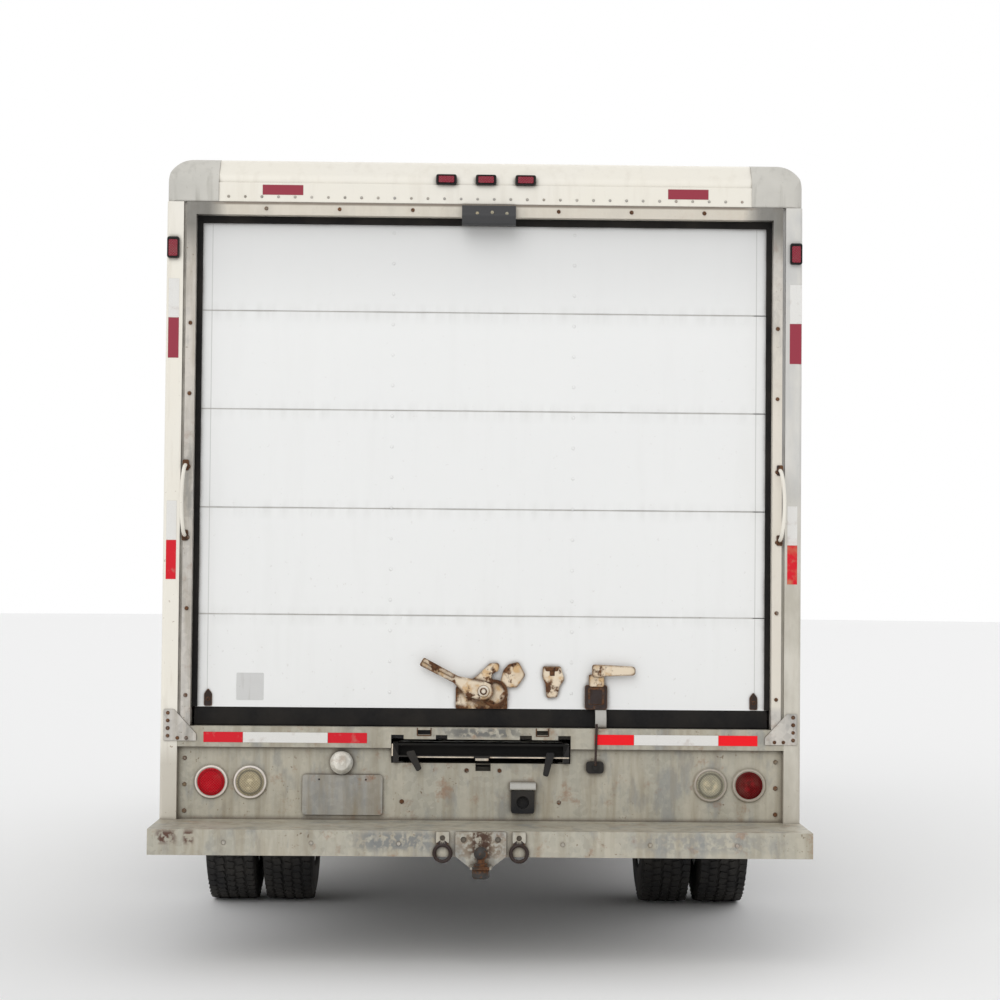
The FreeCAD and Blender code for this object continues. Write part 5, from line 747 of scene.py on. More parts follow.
# Post runs are distances in from the body's edge, negative on the left
tape = dict(thickness=0.0007, sunk=0.001, gap=0.0006, sill=(0.823, 0.862), header=(2.915, 2.953),
            headerRun=(0.700, 0.855), sillRuns=(("red", 1.055, 0.905), ("white", 0.905, 0.583),
                                                ("red", 0.583, 0.433)),
            upper=(("white", 2.590, 2.440), ("red", 2.440, 2.285)),
            lower=(("white", 1.740, 1.590), ("red", 1.590, 1.440)),
            leftUpper=(-0.050, -0.010), leftLower=(-0.051, -0.013), rightUpper=(0.003, 0.048),
            rightLower=(0.016, 0.054))
tapes = {"red": Piece(), "white": Piece()}
tapeDepth = (rearFace - tape["thickness"], rearFace + tape["sunk"])
for tint, far, near in tape["sillRuns"]:
    for sign in (-1, 1):
        left, right = sorted((sign * far, sign * near))
        tapes[tint].slab((left + tape["gap"], right - tape["gap"]), tapeDepth, tape["sill"])
for run in ("leftUpper", "leftLower", "rightUpper", "rightLower"):
    edges = [halfWidth - inset if inset > 0 else -halfWidth - inset for inset in tape[run]]
    for tint, high, low in tape["upper" if run.endswith("Upper") else "lower"]:
        tapes[tint].slab(edges, tapeDepth, (low + tape["gap"], high - tape["gap"]))
for sign in (-1, 1):
    tapes["red"].slab([sign * x for x in tape["headerRun"]], tapeDepth, tape["header"])
for tint, piece in tapes.items():
    piece.done("marking_tape_" + tint, "tape_" + tint)

headerRivets = dict(height=2.907, pitch=0.0635, reach=0.985, head=dict(radius=0.0055, height=0.0032))
ends = [(x, rearFace, headerRivets["height"]) for x in about(0, headerRivets["reach"])]
scatter("header_rivets", [(place, back) for place in row(*ends, headerRivets["pitch"])], "dome",
        "rivet_metal", **headerRivets["head"])
gussetRivets = dict(proud=0.004, inset=0.029, foot=0.846, pitch=0.029, count=4,
                    low=((0.10, 0.838), (0.066, 0.838)), head=dict(radius=0.0075, height=0.005, seed=9))
places = [(gussetRivets["inset"], gussetRivets["foot"] + gussetRivets["pitch"] * index)
          for index in range(gussetRivets["count"])] + list(gussetRivets["low"])
scatter("gusset_rivets", mirrored([((halfWidth - inset, rearFace - gussetRivets["proud"], z), back)
                                   for inset, z in places]), "dome", "screw_steel", **gussetRivets["head"])
railScrews = dict(inset=0.094, heights=(2.42, 2.15, 1.87, 1.60, 1.33, 1.00), topHeight=2.862, topPitch=0.28,
                  head=dict(radius=0.008, height=0.006, sides=12))
places = mirrored([((halfWidth - railScrews["inset"], rearFace, z), back) for z in railScrews["heights"]])
places += [((railScrews["topPitch"] * index, rearFace, railScrews["topHeight"]), back)
           for index in range(-3, 4)]
scatter("rail_screws", places, "pan", "screw_steel", **railScrews["head"])
stileRivets = dict(columns=(-0.352, 0.345), rise=0.06, top=2.78, pitch=0.118,
                   head=dict(radius=0.006, height=0.0022))
ends = [(0, 0, doorFoot + stileRivets["rise"]), (0, 0, stileRivets["top"])]
scatter("door_stile_rivets", [((x, doorFace, place.z), back) for x in stileRivets["columns"]
                              for place in row(*ends, stileRivets["pitch"])], "dome", "door_paint",
        **stileRivets["head"])
label = dict(left=-0.937, right=-0.834, low=0.981, high=1.084, corner=0.004, thickness=0.0006)
Piece().prism(framed(label["left"], label["right"], label["low"], label["high"], label["corner"]), "y",
              doorFace - label["thickness"], doorFace + 0.001).done("blank_label", "blank_label")

plates = Piece()
# small roller plates at the door's lower corners
for sign in (-1, 1):
    left, right = sorted((sign * 1.030, sign * 1.060))
    corners = [(left, 0.003), (right, 0.003), (right, 0.050), ((left + right) / 2, 0.070), (left, 0.050)]
    plates.prism(rounded([(x, doorFoot + rise) for x, rise in corners], 0.006), "y", doorFace - 0.006,
                 doorFace + 0.001, 0.001)
    roller = (sign * 1.045, doorFace, doorFoot + 0.030)
    plates.turned(stepped(0.007, 0.0, 0.007, 0.010, 0.004, 0.012), roller, back, 12)
plates.done("door_corner_plates", "latch_dark")

hooks = dict(low=0.856, high=0.8835, wall=0.003, over=0.002, bevel=0.0008,
             places=((-0.242, -0.191), (0.211, 0.257)))
lips, lipDepth, wall = Piece(), (rearFace - 0.003, rearFace + 0.004), hooks["wall"]
for left, right in hooks["places"]:                          # rusty lips round the two hook slots
    left, right = left - hooks["over"], right + hooks["over"]
    lips.slab((left, right), lipDepth, (hooks["low"] - wall, hooks["low"]), hooks["bevel"])
    for edge in (left, right - wall):
        lips.slab((edge, edge + wall), lipDepth, (hooks["low"], hooks["high"]), hooks["bevel"])
lips.done("hook_slot_lips", "rusted_steel")

rings, inner, outer, proud = Piece(), lamps["inner"], lamps["outer"], lamps["proud"]
for x in (-lamps["tail"], -lamps["reverse"], lamps["reverse"], lamps["tail"]):
    rings.turned([(inner, 0.006), (outer, 0.006), (outer, proud - 0.002), (outer - 0.003, proud),
                  (inner + 0.002, proud), (inner, proud - 0.002)], (x, apronFace, lamps["height"]), back, 40,
                 closed=True)
rings.done("lamp_rings", "lamp_ring")
hexHead = dict(radius=0.009, height=0.006, sides=6)
apronBolts = dict(middle=[(-0.054, 0.720), (0.072, 0.720), (-0.30, 0.60), (0.30, 0.60)], edge=1.128,
                  heights=(0.56, 0.66, 0.76))
places = apronBolts["middle"] + [(sign * apronBolts["edge"], z) for sign in (-1, 1)
                                 for z in apronBolts["heights"]]
scatter("apron_bolts", [((x, apronFace, z), back) for x, z in places], "pan", "screw_steel", **hexHead)
bumperBolts = dict(places=(0.30, 0.62, 0.94), height=0.483)
scatter("bumper_bolts", [((sign * x, bumperFace, bumperBolts["height"]), back)
                         for sign in (-1, 1) for x in bumperBolts["places"]], "pan", "rivet_metal",
        slot="galvanised", **dict(hexHead, height=0.005))

# Red windows let into the black housings of the header and post lamps, each with its own rim
markers = dict(header=[(x, 2.980, 0.061, 0.027, rearFace - 0.016) for x in (-0.152, 0.0, 0.152)],
               post=[(sign * (halfWidth - 0.026), 2.706, 0.034, 0.064, rearFace - 0.014)
                     for sign in (-1, 1)])
windows, rims = Piece(), Piece()
for x, z, width, height, face in markers["header"] + markers["post"]:
    for piece, grow, radius, off, into, bevel in ((windows, 0.0, 0.005, 0.0022, 0.002, 0.001),
                                                  (rims, 0.003, 0.006, 0.0012, 0.001, 0.0005)):
        piece.prism(framed(*about(x, width / 2 + grow), *about(z, height / 2 + grow), radius), "y",
                    face - off, face + into, bevel)
windows.done("marker_windows", "lens_marker_red")
rims.done("marker_rims", "slot_dark")
spots = Piece()
for x, z in ((-0.0325, 2.846), (0.0245, 2.850), (0.0805, 2.846)):
    spots.turned(stepped(0.0065, 0.0, 0.0065, 0.003, 0.004, 0.0045), (x, rearFace - 0.0405, z), back, 14)
spots.done("lamp_box_spots", "lens_reverse")

lock = dict(pivot=(0.008, doorFace - 0.046, 1.023), disc=(0.050, doorFace - 0.022, 1.015))
washer = stepped(0.0115, -0.004, 0.0215, -0.004, 0.0215, 0.0045, 0.0195, 0.0065, 0.0135, 0.0065, 0.0115,
                 0.0045)
pin = stepped(0.009, -0.004, 0.009, 0.004, 0.006, 0.007)
Piece().turned(washer, (lock["pivot"][0], doorFace - 0.038, lock["pivot"][2]), back, 28, closed=True).turned(
    pin, lock["pivot"], back, 20).done("lock_pivot", "latch_pale")
hoop = stepped(0.0425, -0.008, 0.0475, -0.008, 0.0475, 0.0035, 0.0425, 0.0035)
Piece().turned(hoop, lock["disc"], back, 44, closed=True).done("lock_ring", "rusted_steel")
tongue = dict(left=0.436, right=0.479, foot=0.887, top=0.957, bevel=0.0012)
foot, top = tongue["foot"], tongue["top"]
outline = [(0.010, top), (0.022, top - 0.004), (0.034, top - 0.022), (0.036, foot + 0.018), (0.030, foot),
           (0.024, foot), (0.029, foot + 0.018), (0.026, top - 0.022), (0.018, top - 0.010),
           (0.010, top - 0.008)]
Piece().prism([(doorFace - off, z) for off, z in outline], "x", tongue["left"], tongue["right"],
              tongue["bevel"]).done("bolt_tongue", "flap_grey")
print("rear details made")

bead = dict(run=(-1.094, 1.040), depth=(0.0011, 0.006), half=0.0013)
seamFillers = Piece()
for seam in doorSeams:                                       # grey filler strip a little inside each panel joint; its grey is painted shade along the joint
    seamFillers.slab(bead["run"], [doorFace + depth for depth in bead["depth"]], about(seam, bead["half"]))
seamFillers.done("door_seam_fillers", "seam_strip")

handle = dict(x=1.135, low=deckTop + 0.728, high=deckTop + 0.996, reach=0.058, radius=0.0072, steps=30,
              bows=((-1, 0.008), (1, 0.011)))
bars, feet = Piece(), Piece()
for sign, bow in handle["bows"]:
    path, x = [], sign * handle["x"]
    for index in range(handle["steps"] + 1):
        share = 0.5 - 0.5 * math.cos(math.pi * index / handle["steps"])
        reach = handle["reach"] * max(0.0, 1 - abs(2 * share - 1) ** 6) ** 0.45
        path.append((sign * (handle["x"] + bow * math.sin(math.pi * share)), rearFace + 0.002 - reach,
                     handle["low"] + (handle["high"] - handle["low"]) * share))
    bars.tube(path, handle["radius"], 14)
    for z in (handle["low"], handle["high"]):
        feet.prism(framed(*about(x, 0.012), *about(z, 0.020), 0.006), "y", rearFace - 0.005,
                   rearFace - 0.0002, 0.001)
        feet.turned(stepped(0.0115, 0.004, 0.0100, 0.010, 0.0076, 0.012), (x, rearFace, z), back, 16)
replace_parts(bars.done("handle_bars", "cream_paint"), "grab_handles")
feet.done("handle_feet", "latch_dark", slot="cast_dark")

# Bright lip of the ramp's end channel, the frame on the bolt housing, and a dark plate in the keeper's opening
# as painted shade
lip, lipY = Piece(), rearFace + 0.002
for left, right in ((-0.262, -0.026), (0.034, 0.336)):
    lip.prism([(lipY - 0.0012, 0.7700), (lipY + 0.022, 0.7700), (lipY + 0.022, 0.7716),
               (lipY - 0.0012, 0.7745)],
              "x", left, right)
lip.slab((-0.340, -0.334), (lipY - 0.001, lipY + 0.004), (0.775, 0.822), 0.001)
lip.slab((-0.021, 0.029), (lipY - 0.0155, lipY - 0.0135), (0.7605, 0.7700), 0.0006)
lip.done("ramp_lip", "ramp_lip", "ramp")
outer = framed(0.409, 0.470, doorFoot + 0.020, doorFoot + 0.084, 0.006)
inner = framed(0.416, 0.463, doorFoot + 0.020, doorFoot + 0.077, 0.005)
Piece().levels("y", (outer, doorFace - 0.021), (outer, doorFace - 0.0245), (inner, doorFace - 0.0245),
               (inner, doorFace - 0.021)).done("bolt_frame", "cast_iron")
# dark plate in the keeper's opening, standing in for the shade inside it
keeperShade = Piece()
for corners in ([(0.247, 0.146), (0.292, 0.146), (0.296, 0.159), (0.243, 0.159)],
                [(0.262, 0.128), (0.280, 0.128), (0.280, 0.148), (0.262, 0.148)]):
    keeperShade.prism(rounded([(x, doorFoot + rise) for x, rise in corners], 0.003), "y", doorFace - 0.0152,
                 doorFace - 0.012)
keeperShade.done("keeper_opening_shade", "latch_dark", slot="cast_dark")

# Second finishes on parts that are made of several things
dressFaces("rear_fittings", "dull_chrome", lambda at: at.x < -0.45 and at.z < 1.0)
dressFaces("rear_fittings", "flap_grey", lambda at: 0.1 < at.x < 0.22 and 0.648 < at.z < 0.70)
dressFaces("rear_fittings", "socket_black", lambda at: 0.1 < at.x < 0.22 and at.z <= 0.648)
dressFaces("rear_fittings", "socket_black", lambda at: at.x > 0.3)
dressFaces("red_lamps", "socket_black", lambda at: at.z > 2.0)
dressFaces("clear_lamps", "lens_reverse", lambda at: at.y < 0)
dressFaces("ramp", "slot_dark", lambda at: at.y < rearFace + 0.06 and at.z > 0.778)
dressFaces("door_locks", "latch_dark", lambda at: at.x > 0.385 and at.z < doorFoot + 0.10)
dressFaces("licence_plate", "bracket_zinc", lambda at: True)
dressFaces("ramp", "socket_black", lambda at: at.y < rearFace + 0.005 and at.z < 0.80)
dressFaces("hitch", "latch_dark", lambda at: abs(at.x) > 0.10 and at.z < 0.49)
dressFaces("hitch", "cast_iron", lambda at: abs(at.x) < 0.032 and at.y < bumperFace - 0.022)
dressFaces("cab_shell", "floor_mat",
           lambda at: abs(at.x) < 0.94 and 1.42 < at.y < 2.93 and 0.796 < at.z < 1.08)
print("rear dressed")


# Tyres and wheels

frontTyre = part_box("front_tyre_left")
axleHeight = (frontTyre[0][2] + frontTyre[1][2]) / 2
tyre = dict(radius=0.3725, width=0.225, bead=0.203, rimWidth=0.180, groove=0.0085, rows=5, blocks=60,
            blockWidth=0.030, sipe=0.0075, ringDepth=0.0014, ringSteps=(3, 4, 9, 10, 14, 15))
wheel = dict(nuts=8, nutCircle=0.085, boltCircle=0.050, discOffset=0.113, hubOffset=0.033, frontHub=0.046,
             nut=dict(radius=0.0160, height=0.020, sides=6), bolt=dict(radius=0.009, height=0.010, sides=6))
valve = dict(rim=0.060, radius=0.0042,
             path=((-0.020, 0.176), (0.002, 0.166), (0.022, 0.160), (0.034, 0.158)))


def tyreSection():
    # Half section from the bead over the wall to the crown's middle, with raised rings, and its twin
    half, reach, bead, rimHalf = tyre["width"] / 2, tyre["radius"], tyre["bead"], tyre["rimWidth"] / 2
    base = reach - tyre["groove"]
    wall = [(bead, rimHalf - 0.012), (bead + 0.004, rimHalf - 0.001), (bead + 0.016, rimHalf + 0.004)]
    for step in range(1, 19):
        share = step / 18
        belly = math.sin(math.pi * min(1.0, 0.12 + share * 0.86)) ** 0.55
        width = rimHalf + 0.002 + (half - rimHalf - 0.002) * belly
        wall.append((bead + 0.016 + share * (reach - 0.030 - bead),
                     min(width, half - 0.0018) + (tyre["ringDepth"] if step in tyre["ringSteps"] else 0.0)))
    wall += [(base - 0.004, half - 0.012), (base + 0.001, half - 0.026)]
    return wall + [(radius, -width) for radius, width in reversed(wall)]


def treadSpots(x, y):
    spots, half = [], tyre["width"] / 2 - 0.014
    for rank in range(tyre["rows"]):
        across = (rank / (tyre["rows"] - 1) * 2 - 1) * (half - tyre["blockWidth"] / 2)
        crown = tyre["radius"] - tyre["groove"] / 2 - 0.001 - 0.0035 * (abs(across) / half) ** 3
        slant, shift = (0.30, 0.5) if rank % 2 else (-0.30, 0.0)
        for index in range(tyre["blocks"]):
            turn = 2 * math.pi * (index + shift) / tyre["blocks"]
            forward, rise = math.cos(turn), math.sin(turn)
            spots.append((Vector((x + across, y + forward * crown, axleHeight + rise * crown)),
                          Vector((0.10 * across / half, forward, rise)).normalized(),
                          Vector((slant, -rise, forward))))
    return spots


wheelSets = []
for side, sign in sides:
    (frontLow, frontHigh), (rearLow, rearHigh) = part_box("front_tyre_" + side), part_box("rear_tyres_" + side)
    near, far = sorted((abs(rearLow[0]), abs(rearHigh[0])))
    twins = [sign * (far - tyre["width"] / 2), sign * (near + tyre["width"] / 2)]
    wheelSets.append(("front_wheel_" + side, "front_tyre_" + side, [(frontLow[0] + frontHigh[0]) / 2],
                      (frontLow[1] + frontHigh[1]) / 2, sign))
    wheelSets.append(("rear_wheels_" + side, "rear_tyres_" + side, twins, (rearLow[1] + rearHigh[1]) / 2,
                      sign))
for body, node, places, y, sign in wheelSets:
    carcass, treads = Piece(), []
    for x in places:
        carcass.turned(tyreSection(), (x, y, axleHeight), (1, 0, 0), 96, closed=True)
        treads += treadSpots(x, y)
    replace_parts(carcass.done(node + "_carcass", "tyre_rubber", body, sharpAngle=25), node)
    scatter(node + "_tread", treads, "block", "tyre_rubber", body, radius=tyre["blockWidth"], variation=0.0,
            length=2 * math.pi * tyre["radius"] / tyre["blocks"] - tyre["sipe"],
            height=tyre["groove"] + 0.002)
for body, node, places, y, sign in wheelSets:
    low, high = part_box(node.replace("tyre_", "rim_").replace("tyres_", "rims_"))
    twin = len(places) > 1
    if twin:                                                 # the hub stands back inside the outer barrel
        tip, face = abs(places[0]) - wheel["hubOffset"], sign * (abs(places[0]) - wheel["discOffset"])
        cap = stepped(0.040, -0.004, 0.040, 0.004, 0.036, 0.010, 0.024, 0.0155, 0.008, 0.0175)
    else:
        tip = max(abs(low[0]), abs(high[0]))
        face = sign * (tip - wheel["frontHub"])
        cap = stepped(0.037, -0.004, 0.037, 0.012, 0.034, 0.017, 0.020, 0.020, 0.006, 0.021)
    outward, nutSpots, boltSpots, hub = (sign, 0, 0), [], [], Piece()
    for index in range(wheel["nuts"]):
        turn = 2 * math.pi * (index + 0.5) / wheel["nuts"]
        ring = Vector((0, math.cos(turn), math.sin(turn)))
        spot = Vector((face, y, axleHeight)) + ring * wheel["nutCircle"]
        nutSpots.append((spot + Vector(outward) * wheel["nut"]["height"] / 2, outward, tuple(ring)))
        hub.turned(stepped(0.0075, 0.0, 0.0075, 0.030, 0.0062, 0.032), spot, outward, 10)
        hub.turned(stepped(0.0195, 0.0, 0.0195, 0.002, 0.0185, 0.003), spot, outward, 20)
        boltSpots.append((Vector((sign * tip, y, axleHeight)) + ring * wheel["boltCircle"], outward,
                          tuple(ring)))
    hub.turned(cap, (sign * (tip - 0.006), y, axleHeight), outward, 32)
    hub.done(body + "_studs", "screw_steel", body)
    scatter(body + "_nuts", nutSpots, "pan", "rivet_metal", body, **wheel["nut"])
    if twin:
        scatter(body + "_flange_bolts", boltSpots, "pan", "screw_steel", body, **wheel["bolt"])
    rim, nozzle = abs(places[0]) + valve["rim"], stepped(0.0056, 0.0, 0.0056, 0.012, 0.0042, 0.014)
    stem = [(sign * (rim + off), y + lift, axleHeight) for off, lift in valve["path"]]
    Piece().tube(stem, valve["radius"], 10).turned(nozzle, stem[-1], outward, 12).done(
        body + "_valve", "socket_black", body)
print("wheels made")


# Box sides, roof and front wall

(_, wallBack, _), (railOut, wallFront, _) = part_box("box_side_walls")
wallFace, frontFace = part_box("box_front_wall")[1][:2]
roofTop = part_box("box_roof")[1][2]
panels = dict(seams=4, stripHalf=0.023, stripThickness=0.0016, stripHeight=(0.888, 2.888), rivetPitch=0.076,
              railPitch=0.11, railHeights=(0.846, 2.925), postHeights=(0.835, 0.93, 2.86), postPitch=0.15,
              head=dict(radius=0.0058, height=0.0026, sides=8))
strips, sideSpots, face = Piece(), [], wallFace + panels["stripThickness"]
for index in range(panels["seams"]):
    y = wallBack + (wallFront - wallBack) * (index + 0.5) / panels["seams"]
    for sign in (-1, 1):
        strips.slab((sign * (wallFace - 0.001), sign * face), about(y, panels["stripHalf"]),
                    panels["stripHeight"], 0.0006)
    for shift in (-0.0145, 0.0145):
        sideSpots += row((face, y + shift, 0.91), (face, y + shift, 2.87), panels["rivetPitch"])
strips.done("side_seam_strips", "box_white_paint")
for z in panels["railHeights"]:
    sideSpots += row((railOut, wallBack + 0.03, z), (railOut, wallFront - 0.03, z), panels["railPitch"])
# they hold the sheets to the posts
sideSpots += [(halfWidth, rearFace + 0.05, z) for z in panels["postHeights"]]
sideSpots += row((halfWidth, rearFace + 0.085, 0.62), (halfWidth, rearFace + 0.085, 2.84),
                 panels["postPitch"])
scatter("side_rivets", mirrored([(place, out) for place in sideSpots]), "dome", "box_white_paint",
        **panels["head"])
roof = dict(columns=(-0.9, -0.45, 0.0, 0.45, 0.9), pitch=0.16, bowReach=1.14, bowHalf=0.022, bowInset=0.35,
            bowPitch=0.61)
scatter("roof_rivets", [(place, up) for x in roof["columns"] for place in row(
    (x, wallBack + 0.06, roofTop), (x, frontFace - 0.12, roofTop), roof["pitch"])],
        "dome", "box_white_paint", **dict(panels["head"], radius=0.006))
front = dict(columns=(-1.05, -0.35, 0.35, 1.05), foot=0.86, top=2.86, pitch=0.085, sunk=0.0003)
scatter("front_wall_rivets", [(place, ahead) for x in front["columns"] for place in row(
    (x, frontFace - front["sunk"], front["foot"]), (x, frontFace - front["sunk"], front["top"]),
    front["pitch"])],
        "dome", "box_white_paint", **panels["head"])
bows = Piece()
for place in row((0, wallBack + roof["bowInset"], 0), (0, frontFace - roof["bowInset"], 0),
                 roof["bowPitch"]):
    bows.slab(about(0, roof["bowReach"]), about(place.y, roof["bowHalf"]),
              (roofTop - 0.001, roofTop + 0.0018), 0.0006)
bows.done("roof_seam_strips", "box_white_paint")

sideTape = dict(height=(0.815, 0.865), length=0.280, gap=0.001, runs=(-2.90, -1.15, 0.35))
for rank, tint in enumerate(("red", "white")):
    piece = Piece()
    for start in sideTape["runs"]:
        first = start + rank * sideTape["length"]
        last = first + sideTape["length"] - sideTape["gap"]
        for sign in (-1, 1):
            piece.slab((sign * (railOut - tape["sunk"]), sign * (railOut + tape["thickness"])),
                       (first, last), sideTape["height"])
    piece.done("side_tape_" + tint, "tape_" + tint)
print("box details made")


# Cab: glazing rubbers, mirrors, wipers, lamps and small fittings

def islandsOf(nodeName):
    # Vertex places of each separate solid in a CAD part, widest first
    build = bmesh.new()
    build.from_mesh(nodes[nodeName].data)
    bmesh.ops.remove_doubles(build, verts=build.verts, dist=1e-5)
    left, found = set(build.verts), []
    while left:
        todo, island = [left.pop()], []
        while todo:
            vertex = todo.pop()
            island.append(vertex.co.copy())
            others = {edge.other_vert(vertex) for edge in vertex.link_edges} & left
            left -= others
            todo += others
        found.append(island)
    build.free()
    return sorted(found, key=lambda island: max(at.x for at in island) - min(at.x for at in island),
                  reverse=True)


def rimOf(places, first, second, outward):
    # Outline of a pane as seen along the third axis, on its outer face
    def turns(a, b, c):
        here, there = ((other[first] - a[first], other[second] - a[second]) for other in (b, c))
        return here[0] * there[1] - here[1] * there[0]
    spots = {}
    for place in places:
        key = (round(place[first], 3), round(place[second], 3))
        if key not in spots or outward(place) > outward(spots[key]):
            spots[key] = place
    ordered, halves = sorted(spots.values(), key=lambda place: (place[first], place[second])), []
    for run in (ordered, ordered[::-1]):
        half = []
        for place in run:
            while len(half) > 1 and turns(half[-2], half[-1], place) <= 1e-9:
                half.pop()
            half.append(place)
        halves += half[:-1]
    kept = [halves[0]]
    for place in halves[1:]:
        if (place - kept[-1]).length > 0.012:
            kept.append(place)
    if (kept[0] - kept[-1]).length < 0.012:
        kept.pop()
    return kept


def gasket(name, places, axes, outward, radius, body="truck"):
    Piece().tube(filledIn(rimOf(places, *axes, outward), 0.08), radius,
                 closed=True).done(name, "seal_rubber", body)


screen, *quarters = islandsOf("windscreen")
gasket("windscreen_rubber", screen, (0, 2), lambda at: at.y, 0.012)
for rank, places in enumerate(quarters, 1):
    gasket("quarter_rubber_%d" % rank, places, (1, 2), lambda at: abs(at.x), 0.007)
for side, sign in sides:
    pane = islandsOf("door_glass_" + side)[0]
    gasket("door_glass_rubber_" + side, pane, (1, 2), lambda at: abs(at.x), 0.008, "door_" + side)

mirror = dict(wall=0.014, width=0.172, height=0.342, spotHigh=0.115, glassLow=0.125, radius=0.018)
for side, sign in sides:
    low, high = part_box("door_mirror_" + side)
    edge = sign * (max(abs(low[0]), abs(high[0])) - mirror["wall"])
    top = high[2] - mirror["wall"]
    foot = top - mirror["height"]
    for part, lift, head in (("glass", mirror["glassLow"], top), ("spot", 0.0, foot + mirror["spotHigh"])):
        outline = framed(edge, edge - sign * mirror["width"], foot + lift, head, mirror["radius"])
        pane = Piece().prism(outline, "y", low[1] + 0.0015, low[1] + 0.008, 0.001)
        pane.done("mirror_%s_%s" % (part, side), "mirror_glass", "door_" + side)

screenLow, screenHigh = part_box("windscreen")
screenLean = (screenHigh[1] - screenLow[1]) / (screenHigh[2] - screenLow[2])


def onScreen(x, rise, off):
    # A point a given height up the windscreen, off its outer face
    base = Vector((x, screenHigh[1] - rise * screenLean, screenLow[2] + rise))
    return base + Vector((0, 1, screenLean)).normalized() * off


wipers = Piece()
for pivot in (-0.62, 0.08):
    foot, knee, tip = (onScreen(pivot + x, rise, off)
                       for x, rise, off in ((0.0, 0.010, 0.030), (0.16, 0.050, 0.036), (0.42, 0.115, 0.026)))
    wipers.tube([foot, foot.lerp(knee, 0.5), knee, knee.lerp(tip, 0.5), tip], 0.006)
    wipers.turned(stepped(0.015, -0.02, 0.015, 0.006, 0.010, 0.012), foot, (0, 1, screenLean), 18)
    start, end = onScreen(pivot + 0.14, 0.062, 0.012), onScreen(pivot + 0.66, 0.150, 0.012)
    wipers.tube(row(start, end, 0.09), 0.0055, 6)
    for share in (0.2, 0.5, 0.8):
        joint = start.lerp(end, share)
        wipers.tube([joint, tip] if share == 0.5 else [joint, joint.lerp(tip, 0.35), tip], 0.0035, 6)
wipers.done("wipers", "socket_black")

# Each trim panel as its inner and outer x, its corner radius, its bevel and its outline
doorTrims = (
    (0.938, 0.9505, 0.035, 0.003, [(1.600, 0.760), (2.420, 0.760), (2.560, 0.900), (2.560, 1.290),
                                   (1.600, 1.290)]),
    (0.895, 0.941, 0.015, 0.006, [(1.720, 1.040), (2.200, 1.040), (2.260, 1.075), (1.720, 1.085)]),
    (0.915, 0.941, 0.015, 0.004, [(1.700, 0.800), (2.300, 0.800), (2.300, 0.900), (1.700, 0.920)]))
for side, sign in sides:
    body, inward, trim = "door_" + side, (-sign, 0, 0), Piece()

    def sided(*places):
        return [(sign * x, y, z) for x, y, z in places]
    Piece().turned(stepped(0.0125, -0.004, 0.0125, 0.002, 0.0110, 0.0035, 0.0050, 0.0035, 0.0045, 0.0015),
                   (sign * 1.000, 1.640, 1.140), (sign, 0, 0)).done("door_lock_" + side, "dull_chrome", body)
    for near, far, radius, bevel, corners in doorTrims:
        trim.prism(rounded(corners, radius), "x", sign * near, sign * far, bevel)
    trim.done("door_trim_" + side, "trim_grey", body)
    pull = Piece().tube(sided((0.941, 2.240, 1.180), (0.925, 2.245, 1.180), (0.922, 2.300, 1.182),
                              (0.925, 2.350, 1.184), (0.941, 2.355, 1.184)), 0.006)
    pull.turned(stepped(0.020, 0.0, 0.020, 0.010, 0.014, 0.016), (sign * 0.940, 2.380, 1.000), inward, 20)
    pull.tube(sided((0.928, 2.380, 1.000), (0.918, 2.340, 0.975), (0.914, 2.290, 0.955)), 0.0055)
    pull.turned(stepped(0.006, 0.0, 0.011, 0.006, 0.011, 0.026, 0.007, 0.030), (sign * 0.916, 2.290, 0.955),
                inward, 14)
    pull.done("door_pull_" + side, "dull_chrome", body)

noseFace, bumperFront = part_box("clear_lamps")[1][1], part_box("front_bumper")[1][1]
bezels, bowls = Piece(), Piece()
for sign in (-1, 1):
    outer, inner = (framed(*about(sign * 0.635, 0.121 - inset), 0.894 + inset, 1.086 - inset, radius, 6)
                    for inset, radius in ((0.0, 0.030), (0.013, 0.022)))
    bezels.levels("y", (outer, noseFace - 0.010), (outer, noseFace + 0.006), (inner, noseFace + 0.009),
                  (inner, noseFace - 0.010))
    centre = (sign * 0.635, noseFace - 0.002, 0.990)
    hoop = stepped(0.070, 0.0, 0.070, 0.0035, 0.066, 0.0050, 0.062, 0.0035, 0.062, 0.0)
    bowls.turned(hoop, centre, ahead, 40, closed=True)
    bowls.turned(stepped(0.022, 0.0, 0.022, 0.004, 0.012, 0.006), centre, ahead)
bezels.done("headlamp_bezels", "dull_chrome")
bowls.done("headlamp_rings", "lamp_reflector")

frontPlate = dict(half=0.1525, low=0.462, high=0.614, corner=0.012, proud=0.003)
indicator = dict(near=0.560, far=0.700, low=0.516, high=0.562, corner=0.008, proud=0.004)
outline = framed(*about(0, frontPlate["half"]), frontPlate["low"], frontPlate["high"], frontPlate["corner"])
Piece().prism(outline, "y", bumperFront - 0.002, bumperFront + frontPlate["proud"], 0.001).done(
    "front_plate_blank", "plate_grey")
indicators = Piece()
for sign in (-1, 1):
    indicators.prism(framed(sign * indicator["near"], sign * indicator["far"], indicator["low"],
                            indicator["high"],
                            indicator["corner"]), "y", *about(bumperFront, indicator["proud"]), 0.002)
indicators.done("front_indicators", "lens_amber")
frontBolts = dict(plate=[(0.127, 0.595)], bumper=[(0.36, 0.48), (0.36, 0.59)],
                  head=dict(radius=0.0085, height=0.005))
scatter("front_bumper_bolts", [((sign * x, bumperFront + frontPlate["proud"], z), ahead)
                               for rows in ("plate", "bumper")
                               for sign in (-1, 1) for x, z in frontBolts[rows]], "dome", "screw_steel",
        **frontBolts["head"])

